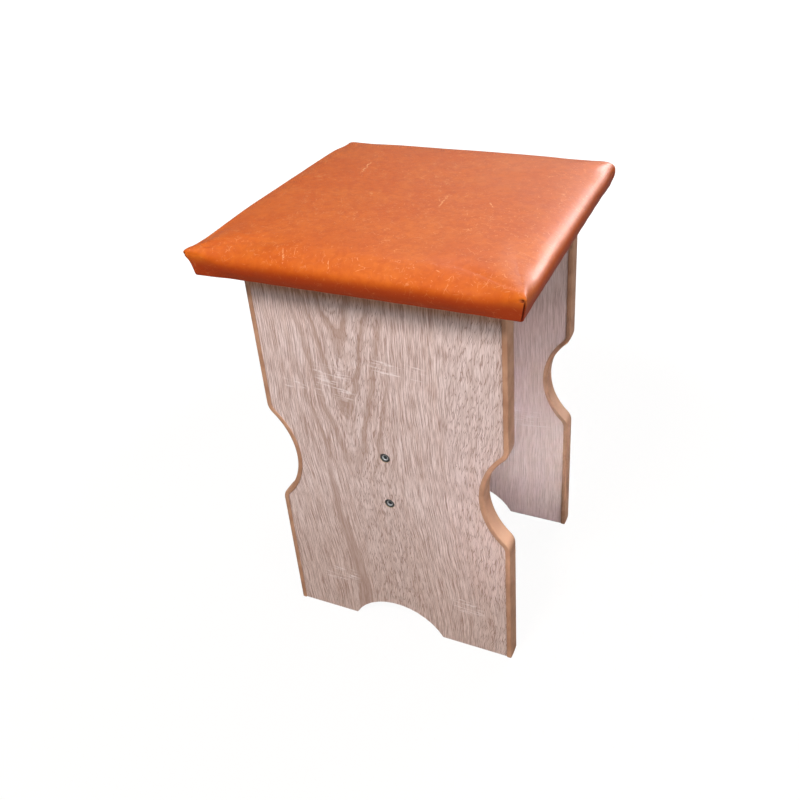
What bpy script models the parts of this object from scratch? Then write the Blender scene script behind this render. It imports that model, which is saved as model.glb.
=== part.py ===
"""Upholstered dining stool: a padded square seat on two notched board panels.

Metres, +Z up, the origin on the floor under the middle of the seat. The front
panel faces -Y. Both panels are the same board, turned back to back, joined by
one upright stretcher and fixed under the seat with steel angle brackets.
"""

import math

import bmesh
import bpy
from mathutils import Matrix, Vector

# Boards
BOARD_THICKNESS = 0.016
PANEL_HEIGHT = 0.425
PANEL_WIDTH = 0.250          # over both edgings
PANEL_SPREAD = 0.228         # outer face to outer face
ARCH_WIDTH = 0.103           # foot arch, along the floor
ARCH_HEIGHT = 0.031
ARCH_OFFSET = 0.0034         # the arch sits left of centre, seen from outside
NOTCH_LENGTH = 0.122         # along the side edge, corner roundings included
NOTCH_DEPTH = 0.025
NOTCH_MIDDLE = 0.209         # height above the floor
NOTCH_CORNER = 0.014         # rounding where the notch leaves the side edge
STRETCHER_HEIGHT = 0.120
STRETCHER_MIDDLE = 0.203     # height above the floor

# Flexible edging: a cap with two lips and a barbed tongue
EDGING_WEB = 0.0020
EDGING_LIP = 0.0025
EDGING_LIP_THICKNESS = 0.0009
EDGING_ROUNDING = 0.0012
EDGING_TRIM = 0.0005         # the edging stops short of both panel ends
TONGUE_LENGTH = 0.0065
TONGUE_THICKNESS = 0.0020
TONGUE_TIP = 0.0008
BARB_COUNT = 2
BARB_HEIGHT = 0.00025
GROOVE_SPARE = 0.0010        # groove depth past the tongue

# Screws that hold the panels to the stretcher
SCREW_LENGTH = 0.050
SCREW_PITCH = 0.057
SCREW_HEAD_DIAMETER = 0.010
SCREW_HEAD_RIM = 0.0010
SCREW_HEAD_HEIGHT = 0.0035
SCREW_NECK_DIAMETER = 0.0070
SCREW_NECK_LENGTH = 0.0140
SCREW_CORE_DIAMETER = 0.0052
SCREW_TIP_LENGTH = 0.0030
SCREW_TIP_DIAMETER = 0.0020
SOCKET_FLATS = 0.0040
SOCKET_DEPTH = 0.0028

# Angle brackets under the seat
BRACKET_LEG = 0.030
BRACKET_WIDTH = 0.018
BRACKET_THICKNESS = 0.0020
BRACKET_BEND = 0.0010        # inside bend radius
BRACKET_SPACING = 0.130      # between the two brackets of a panel
BRACKET_HOLE_INSET = 0.0070  # from the leg's end to the outer hole
BRACKET_HOLE_PITCH = 0.0110
FIXING_LENGTH = 0.0130
FIXING_DIAMETER = 0.0035
FIXING_HEAD_DIAMETER = 0.0070
FIXING_HEAD_HEIGHT = 0.0022
FIXING_HEAD_CROWN = 0.0008
FIXING_TIP_LENGTH = 0.0030

# Seat
SEAT_WIDTH = 0.300           # over the cover, at its widest
SEAT_TUCK = 0.0040           # the sides draw in by this towards the bottom
SEAT_CROWN = 0.0035
SEAT_CORNER = 0.0070         # corner radius in plan
SEAT_SIDE_DRAW = 0.0012      # sides pull in between the corners
SEAT_EDGE_ROUND = 0.0100
FOAM_THICKNESS = 0.0100      # at the rim, squeezed by the cover
COVER_THICKNESS = 0.0010
COVER_FOLD = 0.0012          # outside radius of the fold under the board

# Clearances
GAP = 0.0003                 # between pieces that touch
COVER_CLEARANCE = 0.0010     # cover's trimmed edge to the panels
HOLE_SPARE = 0.0010          # hole depth past a screw's tip
CUT_PAST = 0.0020            # cutters reach this far past a face

# Facets
ARC_STEP = math.radians(10.0)
ROUND_STEPS = 12
FIXING_STEPS = 8
CORNER_STEPS = 3
SIDE_STEPS = 6
EDGE_STEPS = 4
CROWN_STEPS = 4
WELD = 0.000001

# Positions that follow from the sizes above
BOARD_HALF_WIDTH = PANEL_WIDTH / 2 - EDGING_WEB - GAP
PANEL_INNER_Y = -PANEL_SPREAD / 2 + BOARD_THICKNESS
STRETCHER_LENGTH = PANEL_SPREAD - 2 * (BOARD_THICKNESS + GAP)
SEAT_BOTTOM = PANEL_HEIGHT + GAP
SEAT_BOARD_TOP = SEAT_BOTTOM + BOARD_THICKNESS
FOAM_BOTTOM = SEAT_BOARD_TOP + GAP
COVER_INSET = COVER_THICKNESS + GAP
COVER_BOTTOM = SEAT_BOTTOM - COVER_INSET
SEAT_RIM = FOAM_BOTTOM + FOAM_THICKNESS + COVER_INSET
SEAT_HALF = SEAT_WIDTH / 2
FOLD_HALF = SEAT_HALF - SEAT_TUCK
EDGING_HALF_THICKNESS = BOARD_THICKNESS / 2 + GAP + EDGING_LIP_THICKNESS
COVER_EDGE_HALF = max(
    PANEL_WIDTH / 2, PANEL_SPREAD / 2 + GAP + EDGING_LIP_THICKNESS
) + COVER_CLEARANCE

# The front panel stands in its own flat frame: X across, Y up, +Z out of its face
FRONT = Matrix.Translation((0, -PANEL_SPREAD / 2 + BOARD_THICKNESS / 2, 0)) @ Matrix.Rotation(
    math.radians(90), 4, "X"
)
HALF_TURN = Matrix.Rotation(math.radians(180), 4, "Z")
SIDES = (("front", Matrix.Identity(4)), ("rear", HALF_TURN))

# Colour, roughness and metallic value of each finish
FINISHES = {
    "oak_laminate": ((0.617, 0.445, 0.386), 0.55, 0.0),
    "brown_edging": ((0.376, 0.188, 0.107), 0.45, 0.0),
    "dark_steel": ((0.16, 0.15, 0.14), 0.38, 1.0),
    "zinc_steel": ((0.55, 0.55, 0.53), 0.35, 1.0),
    "bare_chipboard": ((0.50, 0.36, 0.22), 0.85, 0.0),
    "seat_foam": ((0.80, 0.72, 0.48), 0.95, 0.0),
    "orange_leatherette": ((0.745, 0.180, 0.065), 0.32, 0.0),
}


def clear_scene():
    """Remove every object that the file starts with."""
    for item in list(bpy.data.objects):
        bpy.data.objects.remove(item, do_unlink=True)


def new_collection(name):
    """Add an empty collection to the scene."""
    collection = bpy.data.collections.new(name)
    bpy.context.scene.collection.children.link(collection)
    return collection


def make_finishes():
    """One Principled material for each finish."""
    materials = {}
    for name, (colour, roughness, metallic) in FINISHES.items():
        material = bpy.data.materials.new(name)
        material.use_nodes = True
        shader = material.node_tree.nodes["Principled BSDF"]
        shader.inputs["Base Color"].default_value = (*colour, 1.0)
        shader.inputs["Roughness"].default_value = roughness
        shader.inputs["Metallic"].default_value = metallic
        materials[name] = material
    return materials


def add_object(name, mesh, collection, placing=None):
    """Put a mesh into a collection under a name, at a place."""
    item = bpy.data.objects.new(name, mesh)
    collection.objects.link(item)
    if placing is not None:
        item.matrix_world = placing
    return item


def finish_bmesh(name, shape):
    """Turn a bmesh into a mesh whose faces point out."""
    bmesh.ops.recalc_face_normals(shape, faces=shape.faces)
    mesh = bpy.data.meshes.new(name)
    shape.to_mesh(mesh)
    shape.free()
    return mesh


def evaluated_mesh(item):
    """Read an object with its modifiers as a new mesh, and remove the object."""
    bpy.context.view_layer.update()
    depsgraph = bpy.context.evaluated_depsgraph_get()
    mesh = bpy.data.meshes.new_from_object(item.evaluated_get(depsgraph))
    bpy.data.objects.remove(item, do_unlink=True)
    shape = bmesh.new()
    shape.from_mesh(mesh)
    bmesh.ops.remove_doubles(shape, verts=shape.verts, dist=WELD)
    bpy.data.meshes.remove(mesh)
    return shape


def flat_plate(outline, thickness):
    """A plate with its outline in X and Y, centred on Z, as a bmesh."""
    curve = bpy.data.curves.new("outline", "CURVE")
    curve.dimensions = "2D"
    curve.fill_mode = "BOTH"
    curve.extrude = thickness / 2
    spline = curve.splines.new("POLY")
    spline.points.add(len(outline) - 1)
    for point, (x, y) in zip(spline.points, outline):
        point.co = (x, y, 0, 1)
    spline.use_cyclic_u = True
    item = add_object("outline", curve, bpy.context.scene.collection)
    return evaluated_mesh(item)


def turned(profile, steps):
    """A shape turned about Z from (radius, height) points, top to bottom, as a bmesh."""
    line = bmesh.new()
    points = [line.verts.new((radius, 0, height)) for radius, height in profile]
    for upper, lower in zip(points, points[1:]):
        line.edges.new((upper, lower))
    mesh = bpy.data.meshes.new("profile")
    line.to_mesh(mesh)
    line.free()
    item = add_object("profile", mesh, bpy.context.scene.collection)
    screw = item.modifiers.new("turn", "SCREW")
    screw.steps = steps
    screw.render_steps = steps
    screw.use_merge_vertices = True
    screw.merge_threshold = WELD
    return evaluated_mesh(item)


def cylinder(diameter, bottom, top, steps):
    """A closed cylinder on Z between two heights, as a bmesh."""
    shape = bmesh.new()
    place = Matrix.Translation((0, 0, (bottom + top) / 2))
    bmesh.ops.create_cone(
        shape,
        cap_ends=True,
        segments=steps,
        radius1=diameter / 2,
        radius2=diameter / 2,
        depth=top - bottom,
        matrix=place,
    )
    return shape


def loft(rings):
    """Faces between rings of equal length, with both end rings capped, as a bmesh."""
    shape = bmesh.new()
    loops = [[shape.verts.new(point) for point in ring] for ring in rings]
    for near, far in zip(loops, loops[1:]):
        for k in range(len(near)):
            n = (k + 1) % len(near)
            shape.faces.new((near[k], near[n], far[n], far[k]))
    caps = (shape.faces.new(loops[0]), shape.faces.new(loops[-1]))
    return shape, caps


def add_shape(target, shape, placing):
    """Copy one bmesh into another at a place, and free it."""
    shape.transform(placing)
    mesh = bpy.data.meshes.new("piece")
    shape.to_mesh(mesh)
    shape.free()
    target.from_mesh(mesh)
    bpy.data.meshes.remove(mesh)


def cut(shape, name, cutter_shape, cutters):
    """Cut a bmesh with the bodies of another, and keep the cutter as a wire guide."""
    cutter = add_object(name + "_cutter", finish_bmesh(name + "_cutter", cutter_shape), cutters)
    cutter.hide_render = True
    cutter.display_type = "WIRE"
    item = add_object(name + "_blank", finish_bmesh(name, shape), bpy.context.scene.collection)
    boolean = item.modifiers.new("cut", "BOOLEAN")
    boolean.operation = "DIFFERENCE"
    boolean.solver = "EXACT"
    boolean.object = cutter
    return evaluated_mesh(item)


def arc(centre, radius, start, end):
    """Points along an arc, both ends included."""
    steps = max(2, math.ceil(abs(end - start) / ARC_STEP - WELD))
    angles = [start + (end - start) * k / steps for k in range(steps + 1)]
    return [
        (centre[0] + radius * math.cos(angle), centre[1] + radius * math.sin(angle))
        for angle in angles
    ]


def side_edge(offset, bottom, top):
    """The panel's right side edge from bottom to top, moved outwards by an offset.

    A straight edge runs into a concave notch through two rounded corners. The
    notch's radius follows from its length, its depth and the corner radius.
    """
    half_length = NOTCH_LENGTH / 2
    reach = (half_length**2 + NOTCH_DEPTH**2) / (2 * NOTCH_DEPTH)
    notch_radius = reach - NOTCH_CORNER
    notch_centre = (BOARD_HALF_WIDTH + notch_radius - NOTCH_DEPTH, NOTCH_MIDDLE)
    corner_x = BOARD_HALF_WIDTH - NOTCH_CORNER
    lean = math.asin(half_length / reach)
    corner_radius = NOTCH_CORNER + offset
    lower = arc((corner_x, NOTCH_MIDDLE - half_length), corner_radius, 0, lean)
    hollow = arc(notch_centre, notch_radius - offset, math.pi + lean, math.pi - lean)
    upper = arc((corner_x, NOTCH_MIDDLE + half_length), corner_radius, -lean, 0)
    x = BOARD_HALF_WIDTH + offset
    return [(x, bottom), *lower, *hollow[1:-1], *upper, (x, top)]


def mirrored(points):
    """The same points on the other side of the panel, in the other order."""
    return [(-x, y) for x, y in reversed(points)]


def foot_arch():
    """The arch in the panel's bottom edge, from left to right."""
    half = ARCH_WIDTH / 2
    radius = (half**2 + ARCH_HEIGHT**2) / (2 * ARCH_HEIGHT)
    centre = (-ARCH_OFFSET, ARCH_HEIGHT - radius)
    spread = math.asin(half / radius)
    if ARCH_HEIGHT > half:
        spread = math.pi - spread
    return arc(centre, radius, math.pi / 2 + spread, math.pi / 2 - spread)


def screw_profile(grow=0.0):
    """The stretcher screw's outline below its head's flat top, grown by a clearance."""
    head = SCREW_HEAD_DIAMETER / 2 + grow
    neck = SCREW_NECK_DIAMETER / 2 + grow
    return [
        (head, -SCREW_HEAD_RIM - grow),
        (neck, -SCREW_HEAD_HEIGHT - grow),
    ]


def screw_heights():
    """Heights of the two stretcher screws, with their names."""
    return (
        ("upper", STRETCHER_MIDDLE + SCREW_PITCH / 2),
        ("lower", STRETCHER_MIDDLE - SCREW_PITCH / 2),
    )


def bracket_holes():
    """Distances of a leg's two holes from the bracket's outer corner."""
    outer = BRACKET_LEG - BRACKET_HOLE_INSET
    return (outer - BRACKET_HOLE_PITCH, outer)


def bracket_places():
    """Places of the two brackets behind the front panel, with their side of the stool."""
    turn = Matrix(((0, 0, 1, 0), (1, 0, 0, 0), (0, 1, 0, 0), (0, 0, 0, 1)))
    corner = Vector((0, PANEL_INNER_Y + GAP, PANEL_HEIGHT))
    across = Vector((BRACKET_SPACING / 2, 0, 0))
    return (
        ("left", Matrix.Translation(corner - across) @ turn),
        ("right", Matrix.Translation(corner + across) @ turn),
    )


def fixing_places():
    """Places of a bracket's four screws in the bracket's frame, with their names.

    The heads sit on the inside faces of the legs, and the tips point into the
    panel along -X and into the seat board along +Y.
    """
    seat = BRACKET_THICKNESS + GAP
    into_panel = Matrix.Rotation(math.radians(90), 4, "Y")
    into_seat = Matrix.Rotation(math.radians(90), 4, "X")
    places = []
    for number, reach in enumerate(bracket_holes(), start=1):
        panel_place = Matrix.Translation((seat, -reach, 0)) @ into_panel
        seat_place = Matrix.Translation((reach, -seat, 0)) @ into_seat
        places.append((f"panel_screw_{number}", panel_place))
        places.append((f"seat_screw_{number}", seat_place))
    return places


def fixing_hole(steps):
    """The pilot hole of a bracket screw in its own frame, past both its ends."""
    depth = FIXING_LENGTH + HOLE_SPARE
    return cylinder(FIXING_DIAMETER + 2 * GAP, -depth, CUT_PAST, steps)


def panel_mesh(cutters):
    """A side panel: notched sides, foot arch, edging grooves and screw holes."""
    right = side_edge(0.0, 0.0, PANEL_HEIGHT)
    blank = flat_plate([*mirrored(right), *foot_arch(), *right], BOARD_THICKNESS)

    holes = bmesh.new()
    groove_depth = TONGUE_LENGTH + GROOVE_SPARE
    groove_width = TONGUE_THICKNESS + 2 * (BARB_HEIGHT + GAP)
    outside = side_edge(CUT_PAST, -CUT_PAST, PANEL_HEIGHT + CUT_PAST)
    inside = side_edge(-groove_depth, -CUT_PAST, PANEL_HEIGHT + CUT_PAST)
    for band in ([*outside, *reversed(inside)], [*mirrored(outside), *reversed(mirrored(inside))]):
        add_shape(holes, flat_plate(band, groove_width), Matrix.Identity(4))

    grown = screw_profile(GAP)
    through = [
        (0, CUT_PAST),
        (grown[0][0], CUT_PAST),
        *grown,
        (grown[1][0], -BOARD_THICKNESS - CUT_PAST),
        (0, -BOARD_THICKNESS - CUT_PAST),
    ]
    for _, height in screw_heights():
        place = Matrix.Translation((0, height, BOARD_THICKNESS / 2 - GAP))
        add_shape(holes, turned(through, ROUND_STEPS), place)

    for _, bracket in bracket_places():
        for name, place in fixing_places():
            if name.startswith("panel"):
                hole = FRONT.inverted() @ bracket @ place
                add_shape(holes, fixing_hole(FIXING_STEPS), hole)
    return finish_bmesh("panel", cut(blank, "panel", holes, cutters))


def edging_section():
    """The edging's section as (outward, across) points, round a closed loop."""
    inner = BOARD_THICKNESS / 2 + GAP
    outer = EDGING_HALF_THICKNESS
    face = GAP + EDGING_WEB
    shoulder = EDGING_ROUNDING * (1 - math.sqrt(0.5))
    tongue = TONGUE_THICKNESS / 2
    barb_length = (TONGUE_LENGTH - TONGUE_TIP) / (BARB_COUNT + 1)
    half = [
        (face, outer - EDGING_ROUNDING),
        (face - shoulder, outer - shoulder),
        (face - EDGING_ROUNDING, outer),
        (-EDGING_LIP, outer),
        (-EDGING_LIP, inner),
        (GAP, inner),
        (GAP, tongue),
    ]
    for k in range(BARB_COUNT):
        barb = -(k + 1) * barb_length
        half.append((barb, tongue + BARB_HEIGHT))
        half.append((barb, tongue))
    half.append((TONGUE_TIP - TONGUE_LENGTH, tongue))
    half.append((-TONGUE_LENGTH, tongue - BARB_HEIGHT))
    return [*half, *((o, -y) for o, y in reversed(half))]


def edging_mesh(mirror):
    """The edging swept along the panel's side edge, every face parallel to the board's."""
    sweep = [
        [(x * mirror, y, across) for x, y in side_edge(out, EDGING_TRIM, PANEL_HEIGHT - EDGING_TRIM)]
        for out, across in edging_section()
    ]
    shape, _ = loft(list(zip(*sweep)))
    return finish_bmesh("edging", shape)


def stretcher_mesh(cutters):
    """The upright board between the panels, with a pilot hole for each screw."""
    blank = bmesh.new()
    size = Matrix.Diagonal((BOARD_THICKNESS, STRETCHER_LENGTH, STRETCHER_HEIGHT, 1))
    bmesh.ops.create_cube(blank, size=1, matrix=Matrix.Translation((0, 0, STRETCHER_MIDDLE)) @ size)
    holes = bmesh.new()
    diameter = SCREW_CORE_DIAMETER + 2 * GAP
    mouth = -BOARD_THICKNESS + CUT_PAST
    for _, side in SIDES:
        for _, height in screw_heights():
            head = Matrix.Translation((0, height, BOARD_THICKNESS / 2))
            hole = cylinder(diameter, -SCREW_LENGTH - HOLE_SPARE, mouth, ROUND_STEPS)
            add_shape(holes, hole, side @ FRONT @ head)
    return finish_bmesh("stretcher", cut(blank, "stretcher", holes, cutters))


def stretcher_screw_mesh(cutters):
    """A countersunk screw with a hexagon socket, its head's top at Z 0, pointing down."""
    core = SCREW_CORE_DIAMETER / 2
    profile = [
        (0, 0),
        (SCREW_HEAD_DIAMETER / 2, 0),
        *screw_profile(),
        (SCREW_NECK_DIAMETER / 2, -SCREW_NECK_LENGTH),
        (core, -SCREW_NECK_LENGTH),
        (core, SCREW_TIP_LENGTH - SCREW_LENGTH),
        (SCREW_TIP_DIAMETER / 2, -SCREW_LENGTH),
        (0, -SCREW_LENGTH),
    ]
    corners = SOCKET_FLATS / math.cos(math.radians(30))
    socket = cylinder(corners, -SOCKET_DEPTH, CUT_PAST, 6)
    return finish_bmesh("screw", cut(turned(profile, ROUND_STEPS), "socket", socket, cutters))


def fixing_mesh():
    """A pan-head screw with its head's underside at Z 0, pointing down."""
    head = FIXING_HEAD_DIAMETER / 2
    shank = FIXING_DIAMETER / 2
    profile = [
        (0, FIXING_HEAD_HEIGHT),
        (head / 2, FIXING_HEAD_HEIGHT),
        (head, FIXING_HEAD_HEIGHT - FIXING_HEAD_CROWN),
        (head, 0),
        (shank, 0),
        (shank, FIXING_TIP_LENGTH - FIXING_LENGTH),
        (0, -FIXING_LENGTH),
    ]
    return finish_bmesh("fixing", turned(profile, FIXING_STEPS))


def bracket_mesh(cutters):
    """An angle bracket: one leg down the panel (-Y), one under the seat (+X)."""
    inside = (BRACKET_THICKNESS + BRACKET_BEND, -BRACKET_THICKNESS - BRACKET_BEND)
    bend = arc(inside, BRACKET_BEND, math.pi, math.pi / 2)
    corner = arc(inside, BRACKET_BEND + BRACKET_THICKNESS, math.pi / 2, math.pi)
    outline = [
        (BRACKET_THICKNESS, -BRACKET_LEG),
        *bend,
        (BRACKET_LEG, -BRACKET_THICKNESS),
        (BRACKET_LEG, 0),
        *corner,
        (0, -BRACKET_LEG),
    ]
    holes = bmesh.new()
    for _, place in fixing_places():
        add_shape(holes, fixing_hole(FIXING_STEPS), place)
    return finish_bmesh("bracket", cut(flat_plate(outline, BRACKET_WIDTH), "bracket", holes, cutters))


def square_ring(half, corner, draw=0.0, side_steps=1):
    """A square with rounded corners, its sides pulled in between them, as (x, y) points."""
    straight = half - corner
    side = []
    for step in range(CORNER_STEPS + 1):
        angle = math.radians(90) * step / CORNER_STEPS
        side.append((straight + corner * math.cos(angle), straight + corner * math.sin(angle)))
    for step in range(1, side_steps):
        along = 1 - 2 * step / side_steps
        side.append((straight * along, half - draw * (1 - along**2)))
    points = []
    for quarter in range(4):
        turn = Matrix.Rotation(math.radians(90) * quarter, 2)
        points.extend(tuple(turn @ Vector(point)) for point in side)
    return points


def seat_ring(half, height, inset, draw):
    """One level ring of the seat's outside, taken in by an inset."""
    ring = square_ring(half - inset, SEAT_CORNER - inset, draw, SIDE_STEPS)
    return [(x, y, height) for x, y in ring]


def crown_rings(inset):
    """Rings of the crowned top, from the rounded edge to near the middle."""
    reach = SEAT_HALF - SEAT_EDGE_ROUND
    outline = square_ring(reach, SEAT_CORNER, SEAT_SIDE_DRAW, SIDE_STEPS)
    rings = []
    for step in range(1, CROWN_STEPS):
        share = 1 - step / CROWN_STEPS
        ring = []
        for x, y in outline:
            rise = (1 - (x * share / reach) ** 2) * (1 - (y * share / reach) ** 2)
            ring.append((x * share, y * share, SEAT_RIM - inset + SEAT_CROWN * rise))
        rings.append(ring)
    return rings


def side_half(height):
    """Half the seat's width at a height: drawn in below, rounded over above."""
    widest = SEAT_RIM - SEAT_EDGE_ROUND
    fold_top = COVER_BOTTOM + COVER_FOLD
    if height <= widest:
        return FOLD_HALF + SEAT_TUCK * (height - fold_top) / (widest - fold_top)
    return SEAT_HALF


def edge_rings(inset, start):
    """Rings up the rounded upper edge, from a start height to the rim."""
    widest = SEAT_RIM - SEAT_EDGE_ROUND
    radius = SEAT_EDGE_ROUND - inset
    first = math.asin(min(1.0, max(0.0, (start - widest) / radius)))
    rings = []
    for step in range(EDGE_STEPS + 1):
        angle = first + (math.radians(90) - first) * step / EDGE_STEPS
        half = SEAT_HALF - radius * (1 - math.cos(angle))
        rings.append(seat_ring(half, widest + radius * math.sin(angle), inset, SEAT_SIDE_DRAW))
    return rings


def close_crown(shape, cap, inset):
    """Fan the small face in the middle of the crown up to the crown's full height."""
    fan = bmesh.ops.poke(shape, faces=[cap])
    for vertex in fan["verts"]:
        vertex.co = (0, 0, SEAT_RIM - inset + SEAT_CROWN)


def foam_mesh():
    """The foam pad: flat on the board, rounded at its edge and crowned on top."""
    widest = SEAT_RIM - SEAT_EDGE_ROUND
    rings = edge_rings(COVER_INSET, FOAM_BOTTOM) + crown_rings(COVER_INSET)
    if FOAM_BOTTOM < widest:
        rings.insert(0, seat_ring(side_half(FOAM_BOTTOM), FOAM_BOTTOM, COVER_INSET, SEAT_SIDE_DRAW))
    shape, caps = loft(rings)
    close_crown(shape, caps[1], COVER_INSET)
    return finish_bmesh("foam", shape)


def cover_object(name, collection):
    """The cover: a thin skin over foam and board, turned under the board's edge."""
    slant = COVER_FOLD * (1 - math.sqrt(0.5))
    rings = [
        seat_ring(COVER_EDGE_HALF, COVER_BOTTOM, 0, 0),
        seat_ring(FOLD_HALF - COVER_FOLD, COVER_BOTTOM, 0, 0),
        seat_ring(FOLD_HALF - slant, COVER_BOTTOM + slant, 0, 0),
        seat_ring(FOLD_HALF, COVER_BOTTOM + COVER_FOLD, 0, 0),
        *edge_rings(0, COVER_BOTTOM),
        *crown_rings(0),
    ]
    shape, caps = loft(rings)
    close_crown(shape, caps[1], 0)
    bmesh.ops.recalc_face_normals(shape, faces=shape.faces)
    bmesh.ops.delete(shape, geom=[caps[0]], context="FACES_ONLY")
    mesh = bpy.data.meshes.new(name)
    shape.to_mesh(mesh)
    shape.free()
    item = add_object(name, mesh, collection)
    skin = item.modifiers.new("skin", "SOLIDIFY")
    skin.thickness = COVER_THICKNESS
    skin.offset = -1
    skin.use_even_offset = True
    return item


def seat_board_mesh(cutters):
    """The seat's board, with pilot holes for the bracket screws in its underside."""
    outline = square_ring(FOLD_HALF - COVER_INSET, SEAT_CORNER - COVER_INSET)
    blank = flat_plate(outline, BOARD_THICKNESS)
    blank.transform(Matrix.Translation((0, 0, SEAT_BOTTOM + BOARD_THICKNESS / 2)))
    holes = bmesh.new()
    for _, side in SIDES:
        for _, bracket in bracket_places():
            for name, place in fixing_places():
                if name.startswith("seat"):
                    add_shape(holes, fixing_hole(FIXING_STEPS), side @ bracket @ place)
    return finish_bmesh("seat_board", cut(blank, "seat_board", holes, cutters))


def other_side(side):
    """Left for right and right for left."""
    return {"left": "right", "right": "left"}[side]


def build_panels(parts, cutters, materials):
    """Both panels with their edgings and the stretcher between them."""
    panel = panel_mesh(cutters)
    edgings = {"left": edging_mesh(-1), "right": edging_mesh(1)}
    for end, turn in SIDES:
        board = add_object(f"{end}_panel", panel, parts, turn @ FRONT)
        paint(board, materials["oak_laminate"])
        for side, mesh in edgings.items():
            seen = side if end == "front" else other_side(side)
            edging = add_object(f"{end}_{seen}_edging", mesh, parts, turn @ FRONT)
            paint(edging, materials["brown_edging"], smooth=True)
    stretcher = add_object("stretcher", stretcher_mesh(cutters), parts)
    paint(stretcher, materials["oak_laminate"])


def build_stretcher_screws(parts, cutters, materials):
    """Two screws through each panel into the stretcher, heads just below the face."""
    screw = stretcher_screw_mesh(cutters)
    for end, turn in SIDES:
        for level, height in screw_heights():
            head = Matrix.Translation((0, height, BOARD_THICKNESS / 2 - GAP))
            item = add_object(f"{end}_{level}_panel_screw", screw, parts, turn @ FRONT @ head)
            paint(item, materials["dark_steel"], smooth=True)


def build_brackets(parts, cutters, materials):
    """Four angle brackets under the seat, each with four screws."""
    bracket = bracket_mesh(cutters)
    fixing = fixing_mesh()
    for end, turn in SIDES:
        for side, place in bracket_places():
            seen = side if end == "front" else other_side(side)
            name = f"{end}_{seen}_bracket"
            item = add_object(name, bracket, parts, turn @ place)
            paint(item, materials["zinc_steel"])
            for fixing_name, fixing_place in fixing_places():
                spot = turn @ place @ fixing_place
                item = add_object(f"{name}_{fixing_name}", fixing, parts, spot)
                paint(item, materials["zinc_steel"], smooth=True)


def build_seat(parts, cutters, materials):
    """The seat: board, foam and cover."""
    board = add_object("seat_board", seat_board_mesh(cutters), parts)
    paint(board, materials["bare_chipboard"])
    foam = add_object("seat_foam", foam_mesh(), parts)
    paint(foam, materials["seat_foam"], smooth=True)
    cover = cover_object("seat_cover", parts)
    paint(cover, materials["orange_leatherette"], smooth=True)


def paint(item, material, smooth=False):
    """Give an object its material, and smooth shading where it is round or soft."""
    mesh = item.data
    mesh.materials.clear()
    mesh.materials.append(material)
    if smooth:
        mesh.shade_smooth()
        mesh.set_sharp_from_angle(angle=math.radians(35))


def main():
    """Build the whole stool."""
    clear_scene()
    parts = new_collection("dining_stool")
    cutters = new_collection("cutters")
    materials = make_finishes()
    build_panels(parts, cutters, materials)
    build_stretcher_screws(parts, cutters, materials)
    build_brackets(parts, cutters, materials)
    build_seat(parts, cutters, materials)


main()
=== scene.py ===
"""Looks of an upholstered dining stool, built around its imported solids.

Metres, +Z up, the front panel faces -Y. Boards and brackets keep their solids and get
their finishes here. The seat, the edgings and the screws are modelled again in full
detail, each in the place of its solid, and staples are added under the seat.
"""

import logging
import math
from collections.abc import Callable, Iterable, Mapping, Sequence
from dataclasses import dataclass, fields
from enum import Enum
from functools import cached_property, partial, reduce
from typing import Any

import bpy
import numpy as np
from mathutils import Matrix, Vector, kdtree, noise


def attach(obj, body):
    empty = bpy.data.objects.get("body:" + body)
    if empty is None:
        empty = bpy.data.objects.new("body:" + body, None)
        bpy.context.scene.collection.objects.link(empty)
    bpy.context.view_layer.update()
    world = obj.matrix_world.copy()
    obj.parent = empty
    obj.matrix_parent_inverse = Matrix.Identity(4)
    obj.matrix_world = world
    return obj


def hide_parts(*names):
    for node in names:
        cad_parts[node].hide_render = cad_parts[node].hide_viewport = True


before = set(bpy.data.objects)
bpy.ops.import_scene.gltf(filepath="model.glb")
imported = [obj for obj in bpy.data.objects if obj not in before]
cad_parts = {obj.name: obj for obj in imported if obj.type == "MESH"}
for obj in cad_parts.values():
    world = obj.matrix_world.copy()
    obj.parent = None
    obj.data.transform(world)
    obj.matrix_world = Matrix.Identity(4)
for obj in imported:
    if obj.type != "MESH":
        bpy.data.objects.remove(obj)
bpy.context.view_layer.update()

BODY = "root"
LOG = logging.getLogger("dining_stool")
FOLD_SHADE = "fold_shade"
QUARTER = math.pi / 2
EASED_EDGE = 0.0004
WELD_REACH = 0.00001
SOCKET_KINDS = {"place": "Vector", "colour": "Color"}

Socket = bpy.types.NodeSocket
Value = Socket | float
Point = tuple[float, float]
Triple = tuple[float, float, float]
Place = Triple
Colour = Triple
Face = tuple[int, ...]
Radius = float | Callable[[float], float]
Layer = tuple[Socket, float, Colour]


class Slot(Enum):
    """Material slots of the stool's record."""

    OAK = "oak_laminate"
    EDGING = "brown_edging"
    DARK_STEEL = "dark_steel"
    ZINC = "zinc_steel"
    CHIPBOARD = "bare_chipboard"
    LEATHERETTE = "orange_leatherette"


class Axis(Enum):
    """Axes of the shared frame, by their place in a vector."""

    X = 0
    Y = 1
    Z = 2


class End(Enum):
    """The two ends of the stool, with the turn that brings the front to each."""

    FRONT = 0.0
    REAR = math.pi

    @property
    def word(self) -> str:
        """The end's name as nodes spell it."""
        return self.name.lower()

    @property
    def turn(self) -> Matrix:
        """The turn about the stool's middle that brings the front end here."""
        return Matrix.Rotation(self.value, 4, "Z")

    def side(self, sign: int) -> str:
        """Name a side of this end as seen from the front, from its sign before the turn."""
        facing = sign if self is End.FRONT else -sign
        return "right" if facing > 0 else "left"


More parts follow.
